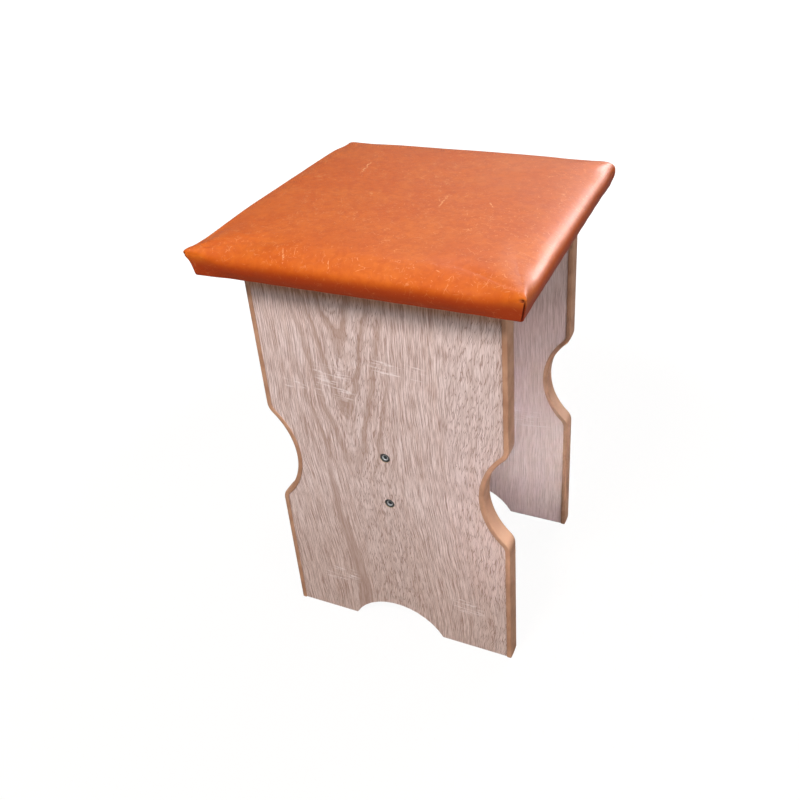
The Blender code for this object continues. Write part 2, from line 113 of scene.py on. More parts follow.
@dataclass(frozen=True)
class PanelSizes:
    """Sizes of the two panels, which the edgings, screws and brackets follow."""

    thickness: float = 0.016
    half_width: float = 0.1227
    height: float = 0.425
    spread: float = 0.228
    gap: float = 0.0003

    def standing(self, depth: float) -> Matrix:
        """Stand a flat shape up in the front panel, at a depth behind its outer face."""
        return Matrix.Translation((0, depth - self.spread / 2, 0)) @ Matrix.Rotation(QUARTER, 4, "X")


PANELS = PanelSizes()


def opaque(colour: Any) -> Any:
    """Add full alpha to a plain colour, and leave a socket as it is."""
    return colour if isinstance(colour, bpy.types.NodeSocket) else (*colour, 1.0)


class NodeBoard:
    """Adds nodes to one tree, so that a finish reads as a list of steps."""

    def __init__(self, tree: bpy.types.NodeTree) -> None:
        """Keep the tree that the nodes go to."""
        self.tree = tree

    def add(self, kind: str, inputs: Mapping[Any, Any] | None = None, **settings: Any) -> bpy.types.Node:
        """Add one node.

        Args:
            kind: Blender's name of the node type.
            inputs: sockets to link, or values to set, by socket name or place.
            settings: properties of the node.

        Returns:
            The new node.
        """
        node = self.tree.nodes.new(kind)
        for name, setting in settings.items():
            setattr(node, name, setting)
        for key, value in (inputs or {}).items():
            self.feed(node.inputs[key], value)
        return node

    def feed(self, socket: Socket, value: Any) -> None:
        """Link a socket into an input, or set the input to a plain value.

        Args:
            socket: the input.
            value: the socket or plain value that it gets.
        """
        if isinstance(value, bpy.types.NodeSocket):
            self.tree.links.new(value, socket)
        else:
            socket.default_value = value

    def effect(self, tree: bpy.types.NodeTree, **values: Value) -> Any:
        """Place a shared effect with its own values, and return its outputs by name."""
        return self.add("ShaderNodeGroup", values, node_tree=tree).outputs

    def math(self, operation: str, *values: Value, clamp: bool = False) -> Socket:
        """Work out one number from others."""
        node = self.add("ShaderNodeMath", dict(enumerate(values)), operation=operation, use_clamp=clamp)
        return node.outputs[0]

    def times(self, *values: Value) -> Socket:
        """Multiply numbers."""
        return reduce(partial(self.math, "MULTIPLY"), values)

    def highest(self, *values: Value) -> Value:
        """Keep the highest of several numbers."""
        return reduce(partial(self.math, "MAXIMUM"), values)

    def minus(self, first: Value, second: Value) -> Socket:
        """Take one number from another."""
        return self.math("SUBTRACT", first, second)

    def scaled(self, value: Value, factor: Value, base: Value, clamp: bool = False) -> Socket:
        """Multiply a number by a factor and add a base."""
        return self.math("MULTIPLY_ADD", value, factor, base, clamp=clamp)

    def unsigned(self, value: Value) -> Socket:
        """Drop a number's sign."""
        return self.math("ABSOLUTE", value)

    def combine(self, x: Value, y: Value, z: Value = 0.0) -> Socket:
        """Put three numbers into one vector."""
        return self.add("ShaderNodeCombineXYZ", {0: x, 1: y, 2: z}).outputs[0]

    def split(self, vector: Socket) -> list[Socket]:
        """Take a vector apart into its three numbers."""
        return list(self.add("ShaderNodeSeparateXYZ", {0: vector}).outputs)

    def vector(self, operation: str, first: Any, second: Any) -> bpy.types.Node:
        """Work out a vector or a number from two vectors."""
        return self.add("ShaderNodeVectorMath", {0: first, 1: second}, operation=operation)

    def alike(self, first: Any, second: Any) -> Socket:
        """Tell how far two directions agree, 1 for the same one."""
        return self.vector("DOT_PRODUCT", first, second).outputs["Value"]

    def facing(self, axis: Axis) -> Socket:
        """Tell how far the surface faces along an axis, from -1 to 1."""
        return self.split(self.add("ShaderNodeNewGeometry").outputs["Normal"])[axis.value]

    def noise(
        self,
        vector: Socket,
        scale: float,
        detail: float = 2.0,
        roughness: float = 0.5,
        distortion: float = 0.0,
    ) -> Socket:
        """Give smooth noise over a vector, from about 0.2 to 0.8."""
        inputs = dict(Vector=vector, Scale=scale, Detail=detail, Roughness=roughness, Distortion=distortion)
        return self.add("ShaderNodeTexNoise", inputs).outputs["Fac"]

    def sway(self, vector: Socket, scale: float, detail: float = 2.0) -> Socket:
        """Give smooth noise to both sides of zero."""
        return self.minus(self.noise(vector, scale, detail), 0.5)

    def warped(self, vector: Socket, scale: float, reach: float) -> Socket:
        """Push a vector about by noise.

        Args:
            vector: the vector.
            scale: the noise's scale.
            reach: how far it is pushed at most.

        Returns:
            The pushed vector.
        """
        push = self.add("ShaderNodeTexNoise", {"Vector": vector, "Scale": scale}).outputs["Color"]
        shift = self.add("ShaderNodeVectorMath", {0: push, "Scale": reach}, operation="SCALE").outputs[0]
        return self.vector("ADD", vector, shift).outputs[0]

    def line_noise(self, value: Value, scale: float, detail: float = 2.0) -> Socket:
        """Give smooth noise along one number."""
        inputs = {"W": value, "Scale": scale, "Detail": detail}
        return self.add("ShaderNodeTexNoise", inputs, noise_dimensions="1D").outputs["Fac"]

    def cells(self, vector: Socket, scale: float, feature: str = "F1") -> Any:
        """Add a cell pattern over a vector and return its outputs."""
        return self.add("ShaderNodeTexVoronoi", {"Vector": vector, "Scale": scale}, feature=feature).outputs

    def ease(self, value: Value, low: Value, high: Value, start: Value = 0.0, end: Value = 1.0) -> Socket:
        """Run smoothly from one number to another while a value runs from low to high."""
        inputs = {0: value, 1: low, 2: high, 3: start, 4: end}
        return self.add("ShaderNodeMapRange", inputs, interpolation_type="SMOOTHSTEP").outputs[0]

    def mix(self, factor: Value, first: Any, second: Any, blend: str = "MIX") -> Socket:
        """Mix two colours."""
        inputs = {0: factor, 6: opaque(first), 7: opaque(second)}
        return self.add("ShaderNodeMix", inputs, data_type="RGBA", blend_type=blend).outputs[2]

    def coats(self, colour: Any, layers: Iterable[Layer]) -> Socket:
        """Lay colours over another, each by its mask and the most that it covers.

        Args:
            colour: the colour underneath.
            layers: mask, greatest cover and colour of each layer, in order.

        Returns:
            The colour on top.
        """
        for mask, most, paint in layers:
            colour = self.mix(self.times(mask, most), colour, paint)
        return colour

    def bump(self, height: Socket, depth: float, strength: float) -> Socket:
        """Turn a height into a normal, with its depth in metres."""
        inputs = {"Height": height, "Distance": depth, "Strength": strength}
        return self.add("ShaderNodeBump", inputs).outputs["Normal"]


class GroupBoard(NodeBoard):
    """A board on a shared effect's node group, with the sockets that it is given."""

    def __init__(self, name: str, inputs: Sequence[str], outputs: Sequence[str]) -> None:
        """Open a new group.

        Args:
            name: the group's name.
            inputs: names of its inputs.
            outputs: names of its outputs.
        """
        super().__init__(bpy.data.node_groups.new(name, "ShaderNodeTree"))
        for way, labels in (("INPUT", inputs), ("OUTPUT", outputs)):
            for label in labels:
                kind = "NodeSocket" + SOCKET_KINDS.get(label, "Float")
                self.tree.interface.new_socket(label, in_out=way, socket_type=kind)
        self.given = list(self.add("NodeGroupInput").outputs)[: len(inputs)]
        self.target = self.add("NodeGroupOutput").inputs

    def giving(self, **outputs: Socket) -> bpy.types.NodeTree:
        """Put out the group's results by name.

        Args:
            outputs: the socket that each output gets.

        Returns:
            The group's tree.
        """
        for name, socket in outputs.items():
            self.feed(self.target[name], socket)
        return self.tree


class FinishBoard(NodeBoard):
    """A board on a new material's tree, round its one Principled shader."""

    def __init__(self, name: str) -> None:
        """Start a material, with its place in the frame at hand.

        Args:
            name: the material's name.
        """
        self.material = bpy.data.materials.new(name)
        self.material.use_nodes = True
        super().__init__(self.material.node_tree)
        self.shader = self.tree.nodes["Principled BSDF"]
        self.place = self.add("ShaderNodeTexCoord").outputs["Object"]

    def handled(self, low: float, high: float) -> Socket:
        """Give a roughness between two limits, in patches left by handling."""
        return self.effect(EFFECTS.handling, place=self.place, low=low, high=high)["level"]

    def rubbed(self, width: float) -> Socket:
        """Mark the rubbed edges, to a width in metres."""
        return self.effect(EFFECTS.rubbed_edges, place=self.place, width=width)["mask"]

    def finished(self, colour: Socket, rough: Socket, normal: Socket) -> bpy.types.Material:
        """Feed the shader.

        Args:
            colour: base colour.
            rough: roughness.
            normal: the bumped normal.

        Returns:
            The material.
        """
        for name, socket in (("Base Color", colour), ("Roughness", rough), ("Normal", normal)):
            self.feed(self.shader.inputs[name], socket)
        return self.material


@dataclass(frozen=True)
class OakInks:
    """Printing colours of the oak decor, and a painted shade for the board's foot."""

    dark_strand: Colour = (0.640, 0.442, 0.380)
    pale_strand: Colour = (0.752, 0.585, 0.552)
    pale_fibre: Colour = (0.890, 0.741, 0.713)
    dark_fibre: Colour = (0.385, 0.240, 0.194)
    pale_thread: Colour = (0.890, 0.742, 0.703)
    dark_thread: Colour = (0.385, 0.242, 0.194)
    pale_flake: Colour = (0.890, 0.753, 0.721)
    dark_flake: Colour = (0.330, 0.197, 0.154)
    ring: Colour = (0.400, 0.246, 0.186)
    # Painted shade towards the board's foot.
    foot: Colour = (0.895, 0.855, 0.815)
    band: Colour = (0.400, 0.252, 0.199)
    sawn: Colour = (0.900, 0.798, 0.782)


@dataclass(frozen=True)
class OakCut:
    """Where a board is cut from the oak decor: its crest line, a ring, its lean and its band."""

    crest: Value
    ring: Value
    rings_from: Value = -10.0
    lean: Value = 0.0
    band_foot: Value = 0.0
    band_shift: Value = 0.0
    band_weight: Value = 0.0


class OakDecor(GroupBoard):
    """A printed oak decor: arched rings, straight fibre, flakes, a smooth band and saw marks."""

    inks: OakInks = OakInks()
    tip_width: float = 0.011
    steepness: float = 5.0
    ring_pitch: float = 0.075
    ring_fade: float = 0.06
    band_edge: float = 0.0012

    def __init__(self, streaks: bpy.types.NodeTree) -> None:
        """Open the group on coordinates in metres, and bend its grain.

        Args:
            streaks: the shared group that draws lines along the grain.
        """
        names = [part.name for part in fields(OakCut)]
        super().__init__("oak_decor", ["across", "along", "saw", *names], ["colour", "height", "gloss"])
        self.streaks = streaks
        self.across, self.along, self.saw, *cut = self.given
        self.cut = OakCut(*cut)
        self.flat = self.combine(self.across, self.along)
        self.below = self.ease(self.along, 0.26, 0.02)
        swayed = self.scaled(self.sway(self.flat, 9.0), 0.014, self.across)
        self.flow = self.minus(swayed, self.times(self.cut.lean, self.below))
        self.grain = self.combine(self.flow, self.along)

    def printed(self) -> bpy.types.NodeTree:
        """Print the colours over each other.

        Returns:
            The group's tree.
        """
        inks = self.inks
        figure, band = self.figured_zone(), self.smooth_band()
        figured = self.scaled(figure, 0.80, 0.20)
        plain = self.minus(1.0, figure)
        calm = self.minus(1.0, self.times(band, 0.8))
        strand = self.streak(fineness=130.0, stretch=26.0)
        fibre = self.streak(fineness=1120.0, stretch=60.0)
        thread = self.streak(fineness=2200.0, stretch=34.0)
        flakes = self.flakes()
        dark_flakes = self.times(self.ease(flakes, 0.036, 0.010), figured, calm)
        pale_flakes = self.times(self.ease(flakes, 0.045, 0.110), figured)
        pale_lines = self.times(self.ease(fibre, 0.52, 0.74), self.scaled(plain, 0.65, 0.35))
        dark_lines = self.times(self.ease(fibre, 0.46, 0.20), self.scaled(plain, 0.55, 0.45))
        grain = (
            (pale_lines, 0.80, inks.pale_fibre),
            (dark_lines, 0.88, inks.dark_fibre),
            (self.ease(thread, 0.52, 0.84), 0.60, inks.pale_thread),
            (self.ease(thread, 0.48, 0.14), 0.55, inks.dark_thread),
            (pale_flakes, 0.40, inks.pale_flake),
            (dark_flakes, 0.72, inks.dark_flake),
            (self.rings(), 0.72, inks.ring),
        )
        colour = self.coats(self.mix(strand, inks.dark_strand, inks.pale_strand), grain)
        # Painted shade: darker and warmer towards the board's foot.
        colour = self.mix(self.below, colour, inks.foot, "MULTIPLY")
        colour = self.coats(colour, ((band, 0.60, inks.band), (self.saw, 0.68, inks.sawn)))
        relief = self.minus(self.times(fibre, 0.45), self.times(dark_flakes, 0.9))
        height = self.scaled(thread, 0.3, relief)
        return self.giving(colour=colour, height=height, gloss=self.ease(fibre, 0.1, 0.9, 0.46, 0.62))

    def streak(self, fineness: float, stretch: float) -> Socket:
        """Draw lines along the grain, by their fineness and how far they are stretched."""
        values = {"across": self.flow, "along": self.along, "fineness": fineness, "stretch": stretch}
        return self.effect(self.streaks, **values)["streak"]

    def rings(self) -> Socket:
        """Give the depth of growth rings cut at a slant, which make arches round the crest line.

        Returns:
            The rings' depth of colour.
        """
        reach = self.minus(self.flow, self.cut.crest)
        square = self.scaled(reach, reach, self.tip_width**2)
        rise = self.minus(self.math("SQRT", square), self.tip_width)
        arched = self.scaled(rise, -self.steepness, self.along)
        height = self.scaled(self.sway(self.grain, 40.0, detail=3.0), 0.045, arched)
        turn = self.times(self.minus(height, self.cut.ring), 2 * math.pi / self.ring_pitch)
        broad = self.ease(self.math("COSINE", turn), 0.1, 0.95)
        narrow = self.ease(self.line_noise(height, 95.0, detail=3.0), 0.46, 0.66)
        near = self.ease(self.unsigned(reach), 0.062, 0.026, 0.25, 1.0)
        full = self.math("ADD", self.cut.rings_from, self.ring_fade)
        near = self.times(near, self.ease(self.along, self.cut.rings_from, full, 0.15, 1.0))
        depth = self.scaled(narrow, 0.45, self.times(broad, 0.75))
        return self.math("MULTIPLY", depth, near, clamp=True)

    def figured_zone(self) -> Socket:
        """Mark where the wood is figured: beside the crest, and again well to its right.

        Returns:
            The zone's mask.
        """
        off = self.minus(self.scaled(self.sway(self.grain, 30.0), 0.03, self.flow), self.cut.crest)
        near = self.ease(self.unsigned(self.minus(off, 0.018)), 0.036, 0.020)
        return self.highest(near, self.ease(off, 0.092, 0.112))

    def flakes(self) -> Socket:
        """Give the wavy short flakes of figured wood, as noise.

        Returns:
            Noise that is lowest along the flakes.
        """
        bent = self.scaled(self.sway(self.grain, 90.0, detail=1.0), 0.004, self.flow)
        slant = self.scaled(self.along, -0.14, bent)
        spot = self.combine(self.times(slant, 620.0), self.times(self.along, 50.0))
        return self.unsigned(self.minus(self.noise(spot, 1.0, detail=1.0, distortion=0.2), 0.5))

    def smooth_band(self) -> Socket:
        """Mark a darker band with few flakes that widens towards the board's foot.

        Returns:
            The band's mask.
        """
        swing = self.ease(self.along, 0.19, 0.04)
        middle = self.scaled(swing, self.cut.band_shift, self.cut.band_foot)
        off = self.unsigned(self.minus(self.across, middle))
        off = self.scaled(self.sway(self.flat, 45.0), 0.006, off)
        half = self.ease(self.along, 0.21, 0.03, 0.0025, 0.0085)
        inside = self.ease(off, self.math("ADD", half, self.band_edge), self.minus(half, self.band_edge))
        return self.times(inside, self.ease(self.along, 0.235, 0.19), self.cut.band_weight)


@dataclass(frozen=True)
class ChipColours:
    """Colours of pressed wood chips."""

    brown: Colour = (0.36, 0.235, 0.13)
    pale: Colour = (0.66, 0.49, 0.31)
    bark: Colour = (0.2, 0.11, 0.055)
    dust: Colour = (0.72, 0.56, 0.38)


class Effects:
    """Shader effects that finishes share, each a node group built at its first use."""

    chips: ChipColours = ChipColours()

    @cached_property
    def streaks(self) -> bpy.types.NodeTree:
        """Fine lines drawn out along one direction: wood fibre, brushing, extrusion lines.

        Returns:
            The node group.
        """
        board = GroupBoard("streaks", ("across", "along", "fineness", "stretch"), ("streak",))
        across, along, fineness, stretch = board.given
        slow = board.math("DIVIDE", fineness, stretch)
        spot = board.combine(board.times(across, fineness), board.times(along, slow))
        return board.giving(streak=board.ease(board.noise(spot, 1.0, distortion=0.1), 0.32, 0.68))

    @cached_property
    def handling(self) -> bpy.types.NodeTree:
        """Soft patches left by hands and wiping, as a value between two limits.

        Returns:
            The node group.
        """
        board = GroupBoard("handling", ("place", "low", "high"), ("level",))
        place, low, high = board.given
        broad = board.noise(place, 22.0, detail=3.0, roughness=0.55, distortion=0.6)
        patch = board.scaled(broad, 0.7, board.times(board.noise(place, 190.0), 0.3))
        return board.giving(level=board.ease(patch, 0.32, 0.68, low, high))

    @cached_property
    def rubbed_edges(self) -> bpy.types.NodeTree:
        """A broken mask along edges, where a finish is rubbed.

        Returns:
            The node group.
        """
        board = GroupBoard("rubbed_edges", ("place", "width"), ("mask",))
        place, width = board.given
        rounded = board.add("ShaderNodeBevel", {"Radius": width}, samples=4).outputs[0]
        sharp = board.add("ShaderNodeNewGeometry").outputs["Normal"]
        edge = board.ease(board.alike(rounded, sharp), 0.985, 0.86)
        broken = board.ease(board.noise(place, 320.0, detail=3.0, roughness=0.6), 0.35, 0.6)
        return board.giving(mask=board.times(edge, broken))

    @cached_property
    def wood_chips(self) -> bpy.types.NodeTree:
        """Pressed wood chips: flakes of several browns with a rough surface.

        Returns:
            The node group.
        """
        board = GroupBoard("wood_chips", ("place",), ("colour", "height"))
        place = board.warped(board.given[0], 140.0, 0.004)
        x, y, z = board.split(place)
        pressed = board.combine(x, board.times(y, 0.4), board.times(z, 1.7))
        tone = board.split(board.cells(pressed, 420.0)["Color"])[0]
        fleck = board.split(board.cells(place, 1500.0)["Color"])[1]
        colour = board.mix(tone, self.chips.brown, self.chips.pale)
        colour = board.mix(board.ease(tone, 0.86, 0.97), colour, self.chips.bark)
        colour = board.coats(colour, ((fleck, 0.35, self.chips.dust),))
        return board.giving(colour=colour, height=board.math("ADD", tone, fleck))

    @cached_property
    def saw_patch(self) -> bpy.types.NodeTree:
        """A patch of pale cross lines, as a coarse saw leaves them.

        Returns:
            The node group.
        """
        names = ("across", "along", "middle", "level", "half_width", "half_height")
        board = GroupBoard("saw_patch", names, ("mask",))
        across, along, middle, level, half_width, half_height = board.given
        x = board.math("DIVIDE", board.unsigned(board.minus(across, middle)), half_width)
        z = board.math("DIVIDE", board.unsigned(board.minus(along, level)), half_height)
        tilted = board.scaled(across, 0.06, along)
        spot = board.combine(board.times(across, 45.0), board.times(tilted, 470.0))
        line = board.ease(board.noise(spot, 1.0, detail=1.5), 0.52, 0.64)
        broken = board.ease(board.noise(board.combine(across, along), 420.0), 0.30, 0.55)
        edge = board.times(board.ease(x, 1.15, 0.6), board.ease(z, 1.15, 0.75))
        return board.giving(mask=board.times(edge, line, broken))

    @cached_property
    def oak_decor(self) -> bpy.types.NodeTree:
        """A printed oak decor."""
        return OakDecor(self.streaks).printed()


EFFECTS = Effects()


@dataclass(frozen=True)
class OakLaminate:
    """Pale oak decor on both faces of a board, bare chipboard where it is cut."""

    name: str
    thickness: Axis
    across: tuple[Axis, float, float]
    along: tuple[Axis, float]
    cut: OakCut
    sawn: tuple[tuple[float, float, float, float], ...] = ()
    # Painted light: a tint and a share of a pale colour make a board's oak lighter and paler.
    tint: Colour = (1.0, 1.0, 1.0)
    painted_light_share: float = 0.0
    painted_light_colour: Colour = (0.720, 0.580, 0.555)
    # Painted shade: a darker, warmer strip between two heights, with its strength, colour and heights.
    painted_shade: float = 0.0
    painted_shade_colour: Colour = (0.720, 0.540, 0.400)
    painted_shade_levels: Point = (0.392, 0.403)
    relief: float = 0.00022

    def material(self) -> bpy.types.Material:
        """Build the finish.

        Returns:
            The material.
        """
        board = FinishBoard(self.name)
        parts = board.split(board.place)
        axis, sign, offset = self.across
        across = board.scaled(parts[axis.value], sign, offset)
        along = board.math("ADD", parts[self.along[0].value], self.along[1])
        saw = self.saw_marks(board, across, along)
        decor = board.effect(EFFECTS.oak_decor, across=across, along=along, saw=saw, **vars(self.cut))
        chips = board.effect(EFFECTS.wood_chips, place=board.place)
        sawn_edge = board.ease(board.unsigned(board.facing(self.thickness)), 0.75, 0.35)
        # Painted light: the oak lightened by the tint and paled towards the pale colour.
        colour = board.mix(1.0, decor["colour"], self.tint, "MULTIPLY")
        colour = board.mix(self.painted_light_share, colour, self.painted_light_colour)
        # Painted shade of the seat's overhang: darker and warmer towards the board's top.
        painted_shade_mask = board.ease(along, *self.painted_shade_levels, 0.0, self.painted_shade)
        colour = board.mix(painted_shade_mask, colour, self.painted_shade_colour, "MULTIPLY")
        colour = board.mix(sawn_edge, colour, chips["colour"])
        rough = board.math("ADD", decor["gloss"], board.handled(-0.04, 0.05))
        rough = board.scaled(sawn_edge, 0.3, rough, clamp=True)
        height = board.mix(sawn_edge, decor["height"], chips["height"])
        return board.finished(colour, rough, board.bump(height, self.relief, 0.55))

    def saw_marks(self, board: NodeBoard, across: Socket, along: Socket) -> Value:
        """Join the patches of saw marks into one mask.

        Args:
            board: the finish's board.
            across: distance across the grain.
            along: distance along the grain.

        Returns:
            The mask, or 0 where a board has no such marks.
        """
        names = ("middle", "level", "half_width", "half_height")
        placed = partial(board.effect, EFFECTS.saw_patch, across=across, along=along)
        return board.highest(0.0, *(placed(**dict(zip(names, patch)))["mask"] for patch in self.sawn))


@dataclass(frozen=True)
class EdgingPlastic:
    """Satin brown plastic with faint extrusion lines, rubbed edges and painted light on its upward faces."""

    name: str = "brown edging plastic"
    colour: Colour = (0.460, 0.236, 0.140)
    light: Colour = (0.610, 0.350, 0.222)
    dark: Colour = (0.290, 0.133, 0.072)
    # Painted light on the faces that look up.
    painted_top_light: Colour = (0.760, 0.450, 0.290)
    relief: float = 0.00006

    def material(self) -> bpy.types.Material:
        """Build the finish.

        Returns:
            The material.
        """
        board = FinishBoard(self.name)
        _, y, z = board.split(board.place)
        lines = board.effect(EFFECTS.streaks, across=y, along=z, fineness=1500.0, stretch=40.0)["streak"]
        cloud = board.ease(board.noise(board.place, 60.0, detail=3.0), 0.3, 0.7)
        colour = board.mix(0.55, board.mix(cloud, self.dark, self.light), self.colour)
        wear = ((lines, 0.22, self.light), (board.rubbed(0.0009), 0.35, self.light))
        # Painted light: faces that look up are lighter, as light from above falls on them.
        lit_from_above = board.ease(board.facing(Axis.Z), 0.05, 0.75, 0.0, 0.8)
        colour = board.mix(lit_from_above, board.coats(colour, wear), self.painted_top_light)
        return board.finished(colour, board.handled(0.34, 0.52), board.bump(lines, self.relief, 0.5))


@dataclass(frozen=True)
class Steel:
    """Plated or oiled steel with brushing, stains and rubbed edges."""

    name: str
    colour: Colour
    stain: Colour
    bare: Colour
    rough: Point
    metallic: float = 1.0
    relief: float = 0.00003

    def material(self) -> bpy.types.Material:
        """Build the finish.

        Returns:
            The material.
        """
        board = FinishBoard(self.name)
        x, y, z = board.split(board.place)
        values = {"across": board.math("ADD", x, z), "along": y, "fineness": 2600.0, "stretch": 14.0}
        brushing = board.effect(EFFECTS.streaks, **values)["streak"]
        cloud = board.noise(board.place, 130.0, detail=4.0, roughness=0.6, distortion=0.8)
        colour = board.mix(board.ease(cloud, 0.35, 0.7), self.colour, self.stain)
        colour = board.mix(board.rubbed(0.0005), colour, self.bare)
        board.shader.inputs["Metallic"].default_value = self.metallic
        return board.finished(colour, board.handled(*self.rough), board.bump(brushing, self.relief, 0.4))


@dataclass(frozen=True)
class Chipboard:
    """Bare pressed chipboard, sanded."""

    name: str = "bare chipboard"
    relief: float = 0.0003

    def material(self) -> bpy.types.Material:
        """Build the finish.

        Returns:
            The material.
        """
        board = FinishBoard(self.name)
        chips = board.effect(EFFECTS.wood_chips, place=board.place)
        normal = board.bump(chips["height"], self.relief, 0.6)
        return board.finished(chips["colour"], board.handled(0.78, 0.92), normal)


@dataclass(frozen=True)
class Leatherette:
    """Glossy mottled leatherette with pale hair lines, scratches, folds and a fine grain, with painted shade
    down its sides and in the folds' slits.
    """

    name: str = "orange leatherette"
    colour: Colour = (0.615, 0.116, 0.005)
    deep: Colour = (0.470, 0.062, 0.001)
    bright: Colour = (0.670, 0.154, 0.014)
    worn: Colour = (0.830, 0.350, 0.140)
    # Painted shade down the cover's sides, below the widest line.
    painted_shade: Colour = (0.340, 0.030, 0.002)
    # Painted shade in the slits of the corner folds.
    painted_fold_shade: Colour = (0.085, 0.005, 0.002)
    painted_shade_levels: Point = (0.4465, 0.4335)
    specular: float = 0.45
    relief: float = 0.00022
    hair_sets: tuple[Triple, ...] = (
        (120.0, 0.034, 0.0),
        (210.0, 0.052, 3.1),
        (75.0, 0.019, 7.7),
    )
    scratches: tuple[tuple[Point, Point, float], ...] = (
        ((-0.063, -0.136), (-0.056, -0.1465), 0.0009),
        ((-0.0165, -0.142), (-0.0145, -0.1485), 0.0006),
        ((-0.082, 0.071), (-0.077, 0.036), 0.0009),
        ((0.031, 0.004), (0.033, -0.026), 0.0009),
        ((0.074, -0.006), (0.080, -0.016), 0.0007),
    )

    def material(self) -> bpy.types.Material:
        """Build the finish.

        Returns:
            The material.
        """
        board = FinishBoard(self.name)
        place = board.place
        broad = board.noise(place, 17.0, detail=4.0, roughness=0.55, distortion=0.7)
        mottle = board.noise(place, 120.0, detail=4.0, roughness=0.65, distortion=0.5)
        # Painted shade: the cover darker from its widest line down its sides.
        low = board.ease(board.split(place)[Axis.Z.value], *self.painted_shade_levels)
        layers = (
            (board.ease(broad, 0.34, 0.68), 0.75, self.bright),
            (board.ease(mottle, 0.32, 0.7), 0.50, self.deep),
            (low, 0.9, self.painted_shade),
        )
        lying = board.ease(board.facing(Axis.Z), 0.25, 0.85, 0.22, 0.66)
        hairs = board.times(board.highest(*(self.hair_lines(board, *hair) for hair in self.hair_sets)), lying)
        pale = board.highest(hairs, board.times(self.scratch_marks(board), 0.95))
        fold = board.add("ShaderNodeAttribute", attribute_name=FOLD_SHADE).outputs["Fac"]
        colour = board.mix(pale, board.coats(self.colour, layers), self.worn)
        # Painted shade in the folds' slits, from the fold shade that the pleats leave.
        colour = board.coats(colour, ((fold, 0.92, self.painted_fold_shade),))
        rough = board.scaled(pale, 0.12, board.handled(0.29, 0.37))
        rough = board.scaled(fold, 0.6, rough, clamp=True)
        height = board.scaled(pale, -0.6, self.grain(board))
        board.shader.inputs["Specular IOR Level"].default_value = self.specular
        return board.finished(colour, rough, board.bump(height, self.relief, 0.5))

    def hair_lines(self, board: FinishBoard, scale: float, width: float, seed: float) -> Socket:
        """Draw one set of short pale hair lines in loose patches.

        Args:
            board: the finish's board.
            scale: how close the lines are.
            width: a line's half width, as a share of their spacing.
            seed: how far this set is moved from the others.

        Returns:
            The lines' mask.
        """
        moved = board.vector("ADD", board.place, (seed, seed, seed)).outputs[0]
        bent = board.warped(moved, scale * 0.8, 0.6 / scale)
        line = board.ease(board.cells(bent, scale, "DISTANCE_TO_EDGE")["Distance"], width, width * 0.3)
        piece = board.ease(board.noise(moved, scale * 1.3), 0.55, 0.66)
        return board.times(line, piece, board.ease(board.noise(moved, 21.0), 0.42, 0.60, 0.3, 1.0))

    def scratch_marks(self, board: FinishBoard) -> Socket:
        """Draw the longer scratches, each a slightly wavy stroke between two points of the seat.

        Args:
            board: the finish's board.

        Returns:
            The scratches' mask.
        """
        x, y, _ = board.split(board.place)
        x = board.scaled(board.sway(board.place, 120.0), 0.006, x)
        lines = []
        for start, end, width in self.scratches:
            run = Vector(end) - Vector(start)
            length = run.length
            run.normalize()
            dx, dy = board.minus(x, start[0]), board.minus(y, start[1])
            along = board.scaled(dx, run.x, board.times(dy, run.y))
            off = board.unsigned(board.scaled(dx, -run.y, board.times(dy, run.x)))
            begun = board.ease(along, -0.1 * length, 0.15 * length)
            ended = board.ease(along, 1.1 * length, 0.8 * length)
            lines.append(board.times(board.ease(off, width * 1.25, width * 0.35), begun, ended))
        return board.times(board.highest(*lines), board.ease(board.noise(board.place, 420.0), 0.36, 0.56))

    def grain(self, board: FinishBoard) -> Socket:
        """Give the embossed leather grain's height.

        Args:
            board: the finish's board.

        Returns:
            The height.
        """
        pebbles = board.cells(board.place, 1050.0)["Distance"]
        creases = board.noise(board.place, 420.0, detail=4.0, roughness=0.6, distortion=1.2)
        return board.scaled(creases, 1.2, board.times(pebbles, 0.35))


def make_mesh(
    name: str, points: np.ndarray, faces: Iterable[Sequence[int]], crease: float | None = None
) -> bpy.types.Mesh:
    """Make a smooth-shaded mesh from points and faces.

    Args:
        name: the mesh's name.
        points: an array of one row per point.
        faces: the points of each face, by row.
        crease: the angle in degrees from which an edge is sharp, or None for none.

    Returns:
        The new mesh.
    """
    mesh = bpy.data.meshes.new(name)
    mesh.from_pydata([tuple(row) for row in points.tolist()], [], [list(face) for face in faces])
    mesh.update()
    mesh.shade_smooth()
    if crease is not None:
        mesh.set_sharp_from_angle(angle=math.radians(crease))
    return mesh


def link(name: str, data: Any) -> bpy.types.Object:
    """Put a new object into the scene.

    Args:
        name: the object's name.
        data: its mesh, lamp or camera.

    Returns:
        The new object.
    """
    thing = bpy.data.objects.new(name, data)
    bpy.context.scene.collection.objects.link(thing)
    return thing


def add_piece(
    name: str, mesh: bpy.types.Mesh, slot: Slot, nodes: Sequence[str] = (), place: Matrix | None = None
) -> bpy.types.Object:
    """Add a piece of the stool, riding on the stool's body.

    Args:
        name: the piece's name.
        mesh: its mesh, which has its material already.
        slot: the record's slot that its finish belongs to; not used.
        nodes: the solids that it stands for.
        place: where it goes, or None for a mesh that is in place.

    Returns:
        The new object.
    """
    piece = link(name, mesh)
    if place is not None:
        piece.matrix_world = place
    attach(piece, BODY)
    if nodes:
        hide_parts(*nodes)
    LOG.info("piece %s: %d faces, for %s", name, len(mesh.polygons), ", ".join(nodes) or "no solid")
    return piece


